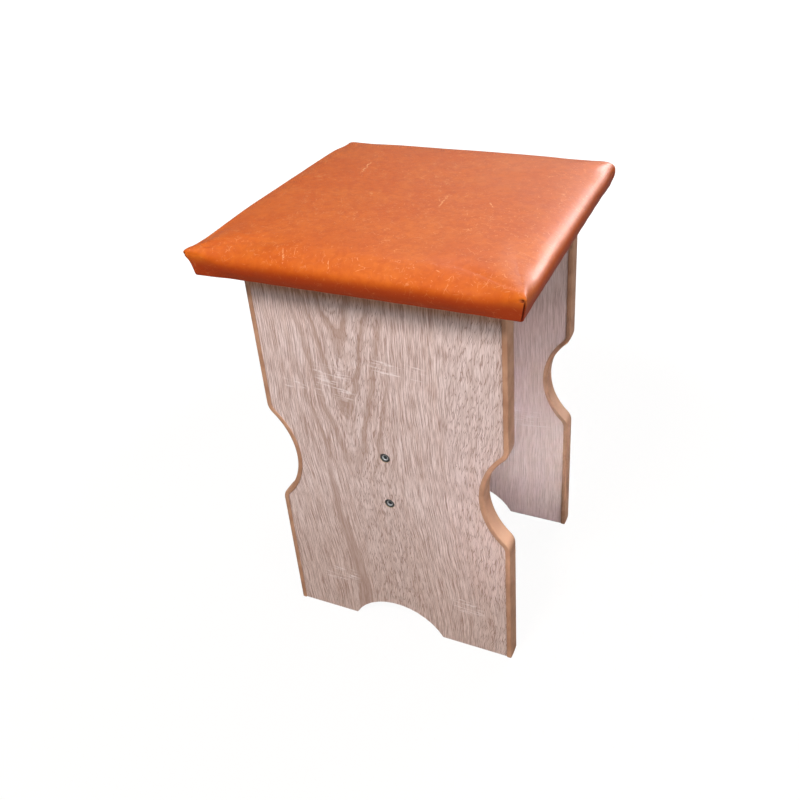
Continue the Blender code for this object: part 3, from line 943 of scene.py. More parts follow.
def dress_node(node: str, material: bpy.types.Material, slot: Slot) -> None:
    """Give a solid its finish, and ease its edges.

    Args:
        node: the solid's name.
        material: its finish.
        slot: the record's slot of that finish; not used.
    """
    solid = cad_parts[node]
    solid.data.materials.clear()
    solid.data.materials.append(material)
    solid.modifiers.new("weld", "WELD").merge_threshold = WELD_REACH
    ease = solid.modifiers.new("eased edges", "BEVEL")
    ease.width = EASED_EDGE
    ease.segments = 2
    ease.limit_method = "ANGLE"
    ease.angle_limit = math.radians(40)
    ease.harden_normals = True
    LOG.info("solid %s: finish %s", node, material.name)


def ring_faces(count: int, rings: int, first: int = 0) -> list[Face]:
    """Join rings of equal count into bands of four-sided faces.

    Args:
        count: points in each ring.
        rings: how many rings there are.
        first: the number of the first ring's first point.

    Returns:
        The faces, ring by ring.
    """
    faces = []
    for near in range(first, first + (rings - 1) * count, count):
        for k in range(count):
            n = (k + 1) % count
            faces.append((near + k, near + count + k, near + count + n, near + n))
    return faces


def turned_mesh(name: str, steps: int, rings: Iterable[tuple[Radius, float]]) -> bpy.types.Mesh:
    """Stack rings on Z into a closed shape.

    Args:
        name: the mesh's name.
        steps: points in each ring.
        rings: a radius, or a rule that gives it from the angle, and a height for each ring.

    Returns:
        The mesh, with both ends capped.
    """
    angles = np.arange(steps) * 2 * math.pi / steps
    turn = np.column_stack([np.cos(angles), np.sin(angles)])
    stack = []
    for radius, height in rings:
        reach = np.array([radius(angle) if callable(radius) else radius for angle in angles])
        stack.append(np.column_stack([turn * reach[:, None], np.full(steps, height)]))
    last = steps * (len(stack) - 1)
    caps = [tuple(range(steps)), tuple(range(last + steps - 1, last - 1, -1))]
    return make_mesh(name, np.concatenate(stack), ring_faces(steps, len(stack)) + caps, crease=38)


def smoothstep(low: float, high: float, value: np.ndarray) -> np.ndarray:
    """Run smoothly from 0 at low to 1 at high, over an array."""
    share = np.clip((value - low) / (high - low), 0.0, 1.0)
    return share * share * (3.0 - 2.0 * share)


def bell(value: np.ndarray, width: float) -> np.ndarray:
    """Fall off smoothly from 1 at zero to both sides, over an array."""
    return np.exp(-((value / width) ** 2))


def read_rows(items: Any, name: str) -> np.ndarray:
    """Read one vector of each of a mesh's items into rows.

    Args:
        items: the mesh's points or normals.
        name: which of an item's values is read.

    Returns:
        One row for each item.
    """
    flat = np.empty(len(items) * 3, np.float32)
    items.foreach_get(name, flat)
    return flat.reshape(-1, 3).astype(float)


@dataclass(frozen=True)
class CornerFold:
    """How the cover is folded at one corner of the seat."""

    across: float
    drop: float
    dip: float
    tuck: float
    ear: float
    hook: float
    slit: float
    ear_level: float = 0.0


@dataclass(frozen=True)
class EdgeRoll:
    """How the cover rolls over one side of the seat: the roll's width and height."""

    across: float
    drop: float


@dataclass(frozen=True)
class Spacing:
    """Spacings of the seat's points: along a side, round its edge, down its side and on top."""

    corner: float
    corner_reach: float
    growth: float
    along: float
    edge: float
    side: float
    top: float

    def shares(self, half: float) -> np.ndarray:
        """Spread points along one side, closest at its corners.

        Args:
            half: half the side's length.

        Returns:
            Places from -1 to 1 along the side.
        """
        runs = [0.0]
        step = self.corner
        while runs[-1] < half:
            runs.append(runs[-1] + step)
            if runs[-1] > self.corner_reach:
                step = min(self.along, step * self.growth)
        from_corner = np.array(runs) / runs[-1]
        return np.concatenate([from_corner - 1.0, (1.0 - from_corner)[::-1][1:]])


@dataclass
class SeatRing:
    """One ring of the seat's form: half widths and heights of its points, and how it is held."""

    half: np.ndarray
    height: np.ndarray
    corner: float
    draw: float = 0.0
    hold: float = 0.0
    upper: bool = False


@dataclass
class SeatForm:
    """The seat's outer form before its folds, with what the folds need to know of each point."""

    points: np.ndarray
    faces: list[Face]
    corner_run: np.ndarray
    below: np.ndarray
    hold: np.ndarray
    ear: np.ndarray
    ear_level: np.ndarray
    hook: np.ndarray
    slit: np.ndarray


@dataclass(frozen=True)
class Pleat:
    """Sizes of the pleat at a seat corner: a flap that ends in a hooked slit, and the corner's ear."""

    zone_top: float = -0.02
    level: float = 0.0004
    rounding: float = 0.0020
    depth: float = 0.0036
    slit_width: float = 0.0012
    slit_ends: Point = (0.0010, 0.0050)
    slit_lip: float = 0.0006
    least_open: float = 0.6
    flap_rise: float = 0.0004
    flap_ends: Point = (0.003, 0.013)
    flap_edge: float = 0.0007
    overlap: float = 0.0008
    overlap_run: float = 0.0009
    shade_width: float = 0.0015
    shade_lip: float = 0.0004
    ear_width: float = 0.006
    ear_height: float = 0.0065

    def pressed(self, form: SeatForm) -> tuple[np.ndarray, np.ndarray, np.ndarray, np.ndarray]:
        """Work out how the pleats move and darken the cover.

        Args:
            form: the seat's form.

        Returns:
            Each point's push along its normal, slide outwards across, ear outwards, and shade.
        """
        outside = (form.below > self.zone_top) & (form.hold < 1)
        past_slit = form.corner_run - form.slit
        below_hook = form.below - self.level
        # Depth inside the flap, whose lower corner is rounded, and negative outside it.
        inner_a = self.rounding - past_slit
        inner_b = self.rounding - below_hook
        reach = np.hypot(np.maximum(inner_a, 0), np.maximum(inner_b, 0))
        depth = self.rounding - reach - np.minimum(np.maximum(inner_a, inner_b), 0)
        inside = depth > 0

        fade = 1 - smoothstep(*self.flap_ends, past_slit)
        held_open = self.least_open + (1 - self.least_open) * form.hook
        hook = 1 - smoothstep(*self.slit_ends, past_slit)
        hook *= np.where(past_slit > self.slit_lip, form.hook, held_open)
        flap = self.flap_rise * fade * np.sqrt(np.clip(depth / self.flap_edge, 0, 1))
        slit = -self.depth * hook * bell(depth, self.slit_width)
        slide = self.overlap * np.exp(-depth / self.overlap_run) * hook
        shade = hook * bell(np.minimum(depth, 0.0), self.shade_width) * (depth < self.shade_lip)
        level = bell(form.below - form.ear_level, self.ear_height)
        ear = form.ear * bell(form.corner_run, self.ear_width) * level
        moves = (np.where(inside, flap, slit), np.where(inside & (below_hook > 0), slide, 0.0), ear, shade)
        return tuple(np.where(outside, move, 0.0) for move in moves)


@dataclass
class Seat:
    """The padded seat: cover and foam as one soft piece."""

    half: float = 0.150
    bottom: float = 0.4240
    rim: float = 0.4529
    corner_spread: float = 0.024
    dip_curve: float = 0.3
    tuck: float = 0.004
    tuck_curve: float = 1.3
    side_draw: float = 0.0004
    side_bulge: float = 0.0005
    start_crown: float = 0.0024
    crown: float = 0.0040
    side_pull: float = 0.2
    most_swell: float = 0.004
    carry_width: float = 0.0055
    carry_count: int = 14
    frames: int = 20
    front_stretch: float = 0.0030
    right_stretch: float = 0.0025
    corner_top: float = 0.0040
    corner_wide: float = 0.0018
    corner_low: float = 0.0022
    cover: float = 0.0010
    fold: float = 0.0014
    fold_rings: int = 6
    hem_edge: float = 0.126
    board_half: float = 0.1450
    board_top: float = 0.4416
    grid_half: float = 0.108
    top_run: float = 0.03
    staple_pitch: float = 0.028
    dimple: float = 0.00022
    hem_dimple: float = 0.5
    broad_rise: float = 0.00032
    broad_scale: float = 21.0
    fine_rise: float = 0.00010
    fine_scale: float = 70.0
    fine_seed: Place = (5.0, 0.0, 0.0)
    fine: Spacing = Spacing(
        corner=0.00045, corner_reach=0.009, growth=1.18, along=0.004, edge=0.0009, side=0.0008, top=0.0022
    )
    coarse: Spacing = Spacing(
        corner=0.005, corner_reach=0.15, growth=1.0, along=0.005, edge=0.0026, side=0.004, top=0.005
    )
    front: EdgeRoll = EdgeRoll(across=0.023, drop=0.0145)
    right: EdgeRoll = EdgeRoll(across=0.026, drop=0.0150)
    rear: EdgeRoll = EdgeRoll(across=0.016, drop=0.0110)
    left: EdgeRoll = EdgeRoll(across=0.006, drop=0.0060)
    front_left: CornerFold = CornerFold(0.003, 0.003, 0.0030, 0.0020, ear=0.0024, hook=0.0, slit=0.0012)
    front_right: CornerFold = CornerFold(0.005, 0.005, 0.0035, 0.0034, ear=0.0004, hook=1.0, slit=0.0014)
    rear_right: CornerFold = CornerFold(0.014, 0.010, 0.0012, 0.0030, 0.0014, 0.6, 0.0012, ear_level=0.006)
    rear_left: CornerFold = CornerFold(0.014, 0.010, 0.0004, 0.0025, ear=0.0, hook=0.3, slit=-0.0002)
    pleat: Pleat = Pleat()
    finish: Leatherette = Leatherette()

    def build(self) -> None:
        """Build the cushion and dress it."""
        form = self.form(self.fine)
        mesh = make_mesh("seat_cushion", form.points + self.swollen(form.points), form.faces)
        self.press_folds(mesh, form)
        mesh.materials.append(self.finish.material())
        cushion = add_piece("seat_cushion", mesh, Slot.LEATHERETTE, ("seat_cover", "seat_foam"))

    def fold_values(self, u: np.ndarray, v: np.ndarray, name: str) -> np.ndarray:
        """Read one size of the nearest corner's fold for each point of a ring.

        Args:
            u: places of the points across, from -1 to 1.
            v: places of the points along, from -1 to 1.
            name: which size is read.

        Returns:
            The size for each point.
        """
        front = np.where(u < 0, getattr(self.front_left, name), getattr(self.front_right, name))
        rear = np.where(u < 0, getattr(self.rear_left, name), getattr(self.rear_right, name))
        return np.where(v < 0, front, rear)

    def roll_values(self, u: np.ndarray, v: np.ndarray, name: str) -> np.ndarray:
        """Read one size of the roll over each point's own side of the seat.

        Args:
            u: places of the points across, from -1 to 1.
            v: places of the points along, from -1 to 1.
            name: which size is read.

        Returns:
            The size for each point.
        """
        beside = np.where(u < 0, getattr(self.left, name), getattr(self.right, name))
        ahead = np.where(v < 0, getattr(self.front, name), getattr(self.rear, name))
        return np.where(np.abs(u) >= np.abs(v), beside, ahead)

    def profile(self, u: np.ndarray, v: np.ndarray, near: np.ndarray, spacing: Spacing) -> list[SeatRing]:
        """List the rings from the top's grid out to the edge, down the side and under.

        Args:
            u: places of a ring's points across, from -1 to 1.
            v: places of a ring's points along, from -1 to 1.
            near: how near each point of a ring is to a corner, from 0 to 1.
            spacing: how close the rings are.

        Returns:
            The rings in order.
        """
        across, down = (
            self.roll_values(u, v, name) * (1 - near) + self.fold_values(u, v, name) * near
            for name in ("across", "drop")
        )
        tuck = self.tuck + (self.fold_values(u, v, "tuck") - self.tuck) * near
        flat = self.half - across
        top = self.rim - self.fold_values(u, v, "dip") * near**self.dip_curve
        widest = top - down
        fold_top = self.bottom + self.fold
        rings = []
        for share in np.linspace(0.0, 1.0, max(3, round(self.top_run / spacing.top)))[:-1]:
            half = self.grid_half + (flat - self.grid_half) * share
            height = self.rim + (top - self.rim) * share**2
            rings.append(SeatRing(half, height, self.corner_top, self.side_draw * share**4, upper=True))
        edge_count = max(5, round((self.front.across + self.front.drop) * math.pi / 4 / spacing.edge))
        for angle in np.linspace(QUARTER, 0.0, edge_count):
            share = math.cos(angle)
            corner = self.corner_top + (self.corner_wide - self.corner_top) * share
            height = widest + down * math.sin(angle)
            rings.append(SeatRing(flat + across * share, height, corner, self.side_draw, upper=True))
        side = self.rim - self.left.drop - fold_top
        for share in np.linspace(0.0, 1.0, max(4, round(side / spacing.side)))[1:]:
            bulge = self.side_bulge * math.sin(math.pi * share) * (1 - near)
            half = self.half - tuck * share**self.tuck_curve + bulge
            corner = self.corner_wide + (self.corner_low - self.corner_wide) * share
            height = widest + (fold_top - widest) * share
            rings.append(SeatRing(half, height, corner, self.side_draw * (1 - share), share**2))
        return rings + self.under_rings(self.half - tuck, spacing)

    def under_rings(self, low_half: np.ndarray, spacing: Spacing) -> list[SeatRing]:
        """List the rings round the lower fold, along the hem and up inside the cover.

        Args:
            low_half: half the width at the foot of the side, for each point of a ring.
            spacing: how close the rings are.

        Returns:
            The rings in order.
        """
        places = []
        for angle in np.linspace(0.0, QUARTER, self.fold_rings)[1:]:
            height = self.bottom + self.fold - self.fold * math.sin(angle)
            places.append((low_half - self.fold * (1 - math.cos(angle)), height))
        under = low_half - self.fold
        turned = self.half - self.tuck - self.fold - self.hem_edge
        for share in np.linspace(0.0, 1.0, max(2, round(turned / spacing.top)))[1:]:
            places.append((under + (self.hem_edge - under) * share, self.bottom))
        inside = self.bottom + self.cover
        places += [(self.hem_edge, inside), (self.board_half, inside), (self.board_half, self.board_top)]
        level = np.ones_like(low_half)
        return [SeatRing(half * level, height * level, self.corner_low, hold=1.0) for half, height in places]

    def form(self, spacing: Spacing) -> SeatForm:
        """Lay out the whole seat: a grid on top, rings round it, and a flat face inside.

        Args:
            spacing: how close the points are.

        Returns:
            The seat's form.
        """
        shares = spacing.shares(self.half)
        count = len(shares)
        inner = count * count
        columns, rows = (part.ravel() for part in np.meshgrid(shares, shares, indexing="ij"))
        grid = self.rounded(columns, rows, self.grid_half, self.corner_top, 0.0)
        grid = np.column_stack([grid, np.full(inner, self.rim)])
        grid[:, 2] += self.crown_rise(grid, self.start_crown)
        number = np.arange(inner).reshape(count, count)
        border = [*number[:-1, 0], *number[-1, :-1], *number[:0:-1, -1], *number[0, :0:-1]]
        u, v = columns[border], rows[border]
        on_side = np.isclose(np.abs(u), 1.0) & ~np.isclose(np.abs(v), 1.0)
        run = np.where(on_side, -(1 - np.abs(v)), 1 - np.abs(u)) * self.half

        rings = self.profile(u, v, bell(run, self.corner_spread), spacing)
        # The first ring is the grid's own border, so only the later ones add points.
        points, fallen = [grid], [np.zeros_like(run)]
        for past, ring in zip(rings, rings[1:]):
            placed = np.column_stack([self.rounded(u, v, ring.half, ring.corner, ring.draw), ring.height])
            if ring.upper:
                placed[:, 2] += self.crown_rise(placed, self.start_crown)
            fallen.append(fallen[-1] + np.hypot(ring.half - past.half, ring.height - past.height))
            points.append(placed)
        widest = fallen[sum(ring.upper for ring in rings) - 1]
        traits = [
            [np.full(inner, self.half)] + [run] * (len(rings) - 1),
            [np.full(inner, -self.half)] + [depth - widest for depth in fallen[1:]],
            [np.zeros(inner)] + [np.full(len(run), ring.hold) for ring in rings[1:]],
        ]
        for name in ("ear", "ear_level", "hook", "slit"):
            traits.append([np.zeros(inner)] + [self.fold_values(u, v, name)] * (len(rings) - 1))
        faces = self.form_faces(number, border, len(rings) - 1)
        return SeatForm(np.concatenate(points), faces, *map(np.concatenate, traits))

    def form_faces(self, number: np.ndarray, border: list[int], rings: int) -> list[Face]:
        """Join the seat's points into faces.

        Args:
            number: the grid's point numbers.
            border: the numbers along its border, in order.
            rings: how many rings lie outside the grid.

        Returns:
            The faces of the grid and the rings, and the flat face inside the last ring.
        """
        inner, count = number.size, len(border)
        corners = (number[:-1, :-1], number[1:, :-1], number[1:, 1:], number[:-1, 1:])
        faces = list(zip(*(corner.ravel() for corner in corners)))
        for k in range(count):
            n = (k + 1) % count
            faces.append((border[k], inner + k, inner + n, border[n]))
        last = inner + (rings - 1) * count
        return faces + ring_faces(count, rings, inner) + [tuple(range(last + count - 1, last - 1, -1))]

    def rounded(self, u: np.ndarray, v: np.ndarray, half: Any, corner: float, draw: float) -> np.ndarray:
        """Place points of a unit square on a square with round corners and drawn-in sides.

        Args:
            u: places across, from -1 to 1.
            v: places along, from -1 to 1.
            half: half the square's width, as one number or one for each point.
            corner: its corner radius.
            draw: how far its sides pull in between the corners.

        Returns:
            One row of x and y for each point.
        """
        x = u * (half - draw * (1 - v**2) * np.abs(u) ** 6)
        y = v * (half - draw * (1 - u**2) * np.abs(v) ** 6)
        a, b = (np.clip((np.abs(part) - (half - corner)) / corner, 0.0, 1.0) for part in (x, y))
        x = np.where(a > 0, np.sign(x) * (half - corner + corner * a * np.sqrt(1 - b * b / 2)), x)
        y = np.where(b > 0, np.sign(y) * (half - corner + corner * b * np.sqrt(1 - a * a / 2)), y)
        return np.column_stack([x, y])

    def crown_rise(self, points: np.ndarray, crown: float) -> np.ndarray:
        """Give the crown's height over points: flat in the middle, rolling off to the edges."""
        x, y = np.clip(np.abs(points[:, :2]) / self.half, 0.0, 1.0).T
        return crown * (1 - x**4) * (1 - y**4)

    def swollen(self, points: np.ndarray) -> np.ndarray:
        """Work out how the stuffed cover swells, by cloth simulation on a coarser copy.

        Args:
            points: the detailed seat's points at the start.

        Returns:
            How far each of them moves.
        """
        rise = self.crown - self.start_crown
        coarse = self.form(self.coarse)
        moved = self.simulated(coarse)
        # Long moves are held back, and the rest is scaled so that the middle reaches the crown.
        length = np.linalg.norm(moved, axis=1, keepdims=True)
        moved *= self.most_swell * np.tanh(length / self.most_swell) / np.maximum(length, 1e-9)
        middle = np.argmin(np.linalg.norm(coarse.points[:, :2], axis=1) - coarse.points[:, 2])
        moved *= rise / moved[middle, 2]
        moved[:, :2] *= self.side_pull
        return self.carried(coarse.points, moved, points)

    def simulated(self, form: SeatForm) -> np.ndarray:
        """Inflate the cover over its board.

        Args:
            form: the coarse seat.

        Returns:
            How far each of its points moved.
        """
        mesh = make_mesh("swelling_cover", form.points, form.faces)
        cloth = link("swelling_cover", mesh)
        held = cloth.vertex_groups.new(name="held")
        for index, weight in enumerate(form.hold):
            held.add([index], float(weight), "REPLACE")
        settings = cloth.modifiers.new("cloth", "CLOTH").settings
        settings.quality = 6
        settings.use_pressure = True
        settings.uniform_pressure_force = 4.0
        settings.tension_stiffness = 30.0
        settings.compression_stiffness = 30.0
        settings.shear_stiffness = 12.0
        settings.bending_stiffness = 4.0
        settings.vertex_group_mass = held.name
        settings.effector_weights.gravity = 0.0
        scene = bpy.context.scene
        for number in range(1, self.frames + 1):
            scene.frame_set(number)
        settled = read_rows(cloth.evaluated_get(bpy.context.evaluated_depsgraph_get()).data.vertices, "co")
        scene.frame_set(1)
        bpy.data.objects.remove(cloth, do_unlink=True)
        bpy.data.meshes.remove(mesh)
        return settled - form.points

    def carried(self, known: np.ndarray, moves: np.ndarray, points: np.ndarray) -> np.ndarray:
        """Carry moves from coarse points over to nearby detailed ones, smoothly.

        Args:
            known: the coarse points.
            moves: how far each coarse point moved.
            points: the detailed points.

        Returns:
            The move of each detailed point.
        """
        tree = kdtree.KDTree(len(known))
        for index, point in enumerate(known):
            tree.insert(point, index)
        tree.balance()
        carried = np.zeros_like(points)
        for row, point in enumerate(points):
            near = tree.find_n(point, self.carry_count)
            weights = np.array([math.exp(-((found[2] / self.carry_width) ** 2)) for found in near])
            carried[row] = weights @ moves[[found[1] for found in near]] / weights.sum()
        return carried

    def press_folds(self, mesh: bpy.types.Mesh, form: SeatForm) -> None:
        """Press the corner pleats, staple dimples and slight unevenness into the cover.

        Args:
            mesh: the swollen seat.
            form: what is known of its points.
        """
        points = read_rows(mesh.vertices, "co")
        normals = read_rows(mesh.vertex_normals, "vector")
        push, slide, ear, shade = self.pleat.pressed(form)
        # The slits' painted shade is kept on the cover's points.
        mesh.attributes.new(FOLD_SHADE, "FLOAT", "POINT").data.foreach_set("value", shade.astype(np.float32))

        # Staples pull the cover in at an even pitch along each side.
        along = np.where(np.abs(points[:, 0]) < np.abs(points[:, 1]), points[:, 0], points[:, 1])
        dimple = self.dimple * np.cos(2 * math.pi * along / self.staple_pitch) * form.hold * (form.below > 0)
        push -= np.where(form.hold < 1, dimple, dimple * self.hem_dimple)
        for row in np.flatnonzero(form.hold < 1):
            place = Vector(points[row])
            broad = self.broad_rise * noise.noise(place * self.broad_scale)
            fine = self.fine_rise * noise.noise(place * self.fine_scale + Vector(self.fine_seed))
            push[row] += (broad + fine) * (1 - form.hold[row])

        toward = np.sign(points[:, 0])
        points += normals * push[:, None]
        points[:, 0] += toward * (slide + ear)
        points[:, 1] += np.sign(points[:, 1]) * ear
        points[:, 0] += self.right_stretch * smoothstep(0.0, self.half, points[:, 0])
        points[:, 1] -= self.front_stretch * smoothstep(0.0, self.half, -points[:, 1])
        mesh.vertices.foreach_set("co", points.astype(np.float32).ravel())
        mesh.update()


@dataclass
class Staples:
    """Rows of staples in the cover's turned-under hem, one along each side of the seat."""

    seat: Seat
    width: float = 0.010
    wire: float = 0.0006
    bend: float = 0.0008
    leg: float = 0.0009
    slant: float = 0.12
    stray: float = 0.0012
    section: tuple[Point, ...] = (
        (1, 0.6), (1, -0.6), (0.6, -1), (-0.6, -1), (-1, -0.6), (-1, 0.6), (-0.6, 1), (0.6, 1),
    )
    finish: Steel = Steel(
        "staple wire", (0.62, 0.61, 0.58), (0.48, 0.46, 0.43), (0.75, 0.74, 0.72), rough=(0.25, 0.40)
    )

    def build(self) -> None:
        """Build and dress the four rows."""
        steel = self.finish.material()
        seat = self.seat
        line = (seat.half - seat.tuck + seat.hem_edge) / 2
        count = int(2 * (seat.hem_edge - self.width) / seat.staple_pitch) + 1
        for quarter, name in enumerate(("front", "right", "rear", "left")):
            turn = Matrix.Rotation(quarter * QUARTER, 4, "Z")
            points, faces = [], []
            for k in range(count):
                x = (k - (count - 1) / 2) * seat.staple_pitch
                spin = Matrix.Rotation(self.slant * math.sin(2.7 * k + 1.3 * quarter), 4, "Z")
                spot = Matrix.Translation((x, -line + self.stray * math.sin(4.1 * k), seat.bottom))
                self.add_staple(points, faces, turn @ spot @ spin)
            mesh = make_mesh(f"{name}_hem_staples", np.array(points), faces, crease=40)
            mesh.materials.append(steel)
            add_piece(f"{name}_hem_staples", mesh, Slot.ZINC)

    def path(self) -> list[Point]:
        """Follow the wire's middle from one leg's end over the crown to the other's.

        Returns:
            Across and up of each point.
        """
        half, low = self.width / 2, self.wire / 2
        turn = self.bend * 0.3
        left = [(-half, self.leg), (-half, turn - low / 2), (turn - half, -low)]
        left.append((self.bend - half, -low * 1.2))
        return left + [(-x, z) for x, z in reversed(left)]

    def add_staple(self, points: list[Place], faces: list[Face], place: Matrix) -> None:
        """Add one staple: a flat wire crown with both legs driven up into the board.

        Args:
            points: the row's points, added to.
            faces: the row's faces, added to.
            place: the staple's place, its crown along X under the cover.
        """
        path = self.path()
        first, count = len(points), len(self.section)
        for k, (x, z) in enumerate(path):
            ahead = Vector(path[min(k + 1, len(path) - 1)]) - Vector(path[max(k - 1, 0)])
            ahead.normalize()
            out = Vector((-ahead.y, ahead.x)) * self.wire / 2
            for side, lift in self.section:
                spot = Vector((x + out.x * lift, side * self.wire * 0.7, z + out.y * lift))
                points.append(tuple(place @ spot))
        last = first + count * (len(path) - 1)
        faces += ring_faces(count, len(path), first)
        faces += [tuple(range(first, first + count)), tuple(range(last + count - 1, last - 1, -1))]


@dataclass
class Edgings:
    """Four flexible edgings that wrap the panels' side edges and follow the notches."""

    notch_length: float = 0.122
    notch_depth: float = 0.025
    notch_middle: float = 0.209
    notch_corner: float = 0.014
    low_steps: int = 16
    corner_steps: int = 10
    hollow_steps: int = 40
    high_steps: int = 26
    trim: float = 0.0005
    web: float = 0.0020
    lip: float = 0.0025
    lip_thickness: float = 0.0009
    lip_shape: tuple[Point, ...] = ((0.4, 0.0), (0.8, 0.0001), (1.0, 0.0004))
    inner_gap: float = 0.4
    crown: tuple[Point, ...] = ((0.25, 0.00025), (0.6, 0.00015))
    rounding: float = 0.0014
    rounding_steps: int = 6
    ruffle: float = 0.00035
    corner_ruffle: float = 0.3
    ruffle_scales: Triple = (150.0, 3.0, 40.0)
    finish: EdgingPlastic = EdgingPlastic()

    def build(self) -> None:
        """Build and dress the four edgings."""
        material = self.finish.material()
        stand = PANELS.standing(PANELS.thickness / 2)
        for end in End:
            for sign in (-1, 1):
                name = f"{end.word}_{end.side(sign)}_edging"
                mesh = self.strip(name + "_strip", sign, end.turn @ stand)
                mesh.materials.append(material)
                add_piece(name + "_strip", mesh, Slot.EDGING, (name,))

    def edge_line(self, offset: float) -> list[Triple]:
        """Follow the side edge from bottom to top, moved outwards by an offset.

        Args:
            offset: distance from the board's edge, outwards.

        Returns:
            Across and up of each point, and how much its lip ruffles.
        """
        half = self.notch_length / 2
        reach = (half**2 + self.notch_depth**2) / (2 * self.notch_depth)
        radius = reach - self.notch_corner
        lean = math.asin(half / reach)
        x = PANELS.half_width + offset
        low, high = self.notch_middle - half, self.notch_middle + half
        corner_x = PANELS.half_width - self.notch_corner
        hollow_x = PANELS.half_width + radius - self.notch_depth
        turn = self.notch_corner + offset
        hollow_angles = np.linspace(math.pi + lean, math.pi - lean, self.hollow_steps)[1:-1]
        arcs = (
            (corner_x, low, turn, np.linspace(0, lean, self.corner_steps), self.corner_ruffle),
            (hollow_x, self.notch_middle, radius - offset, hollow_angles, 1.0),
            (corner_x, high, turn, np.linspace(-lean, 0, self.corner_steps), self.corner_ruffle),
        )
        line = [(x, z, 0.0) for z in np.linspace(self.trim, low, self.low_steps)[:-1]]
        for middle_x, middle_z, bent, angles, loose in arcs:
            line += [(middle_x + bent * math.cos(a), middle_z + bent * math.sin(a), loose) for a in angles]
        upper = np.linspace(high, PANELS.height - self.trim, self.high_steps)[1:]
        return line + [(x, z, 0.0) for z in upper]

    def section(self) -> list[Triple]:
        """List the section's points round a closed loop.

        Returns:
            Outward and across of each point, and how far out on a lip it is.
        """
        inner = PANELS.thickness / 2 + PANELS.gap * self.inner_gap
        outer = PANELS.thickness / 2 + PANELS.gap + self.lip_thickness
        face = PANELS.gap + self.web
        half = [(face + rise, outer * share, 0.0) for share, rise in self.crown]
        for angle in np.linspace(0, QUARTER, self.rounding_steps):
            out = face - self.rounding * (1 - math.cos(angle))
            half.append((out, outer - self.rounding * (1 - math.sin(angle)), 0.0))
        half += [(-self.lip * share, outer - thinning, share) for share, thinning in self.lip_shape]
        half += [(-self.lip, inner, 1.0), (PANELS.gap, inner, 0.0)]
        return half + [(out, -across, share) for out, across, share in reversed(half)]

    def strip(self, name: str, sign: int, place: Matrix) -> bpy.types.Mesh:
        """Sweep the section along the edge.

        Args:
            name: the mesh's name.
            sign: -1 or 1, the panel's side.
            place: where the panel stands.

        Returns:
            The edging's mesh, in place.
        """
        section = self.section()
        count = len(section)
        lines = [self.edge_line(out) for out, _, _ in section]
        scale, side_seed, end_seed = self.ruffle_scales
        points = []
        for k in range(len(lines[0])):
            for (_, across, share), line in zip(section, lines):
                x, z, loose = line[k]
                wave = noise.noise(Vector((z * scale, sign * side_seed, place.translation.y * end_seed)))
                lift = self.ruffle * loose * share * max(0.0, wave) * (1 if across > 0 else -1)
                points.append(tuple(place @ Vector((sign * x, z, across + lift))))
        last = count * (len(lines[0]) - 1)
        faces = ring_faces(count, len(lines[0]))
        faces += [tuple(range(count - 1, -1, -1)), tuple(range(last, last + count))]
        # The faces' order suits the mirrored left side, and is turned over for the right.
        if sign > 0:
            faces = [tuple(reversed(face)) for face in faces]
        return make_mesh(name, np.array(points), faces, crease=50)


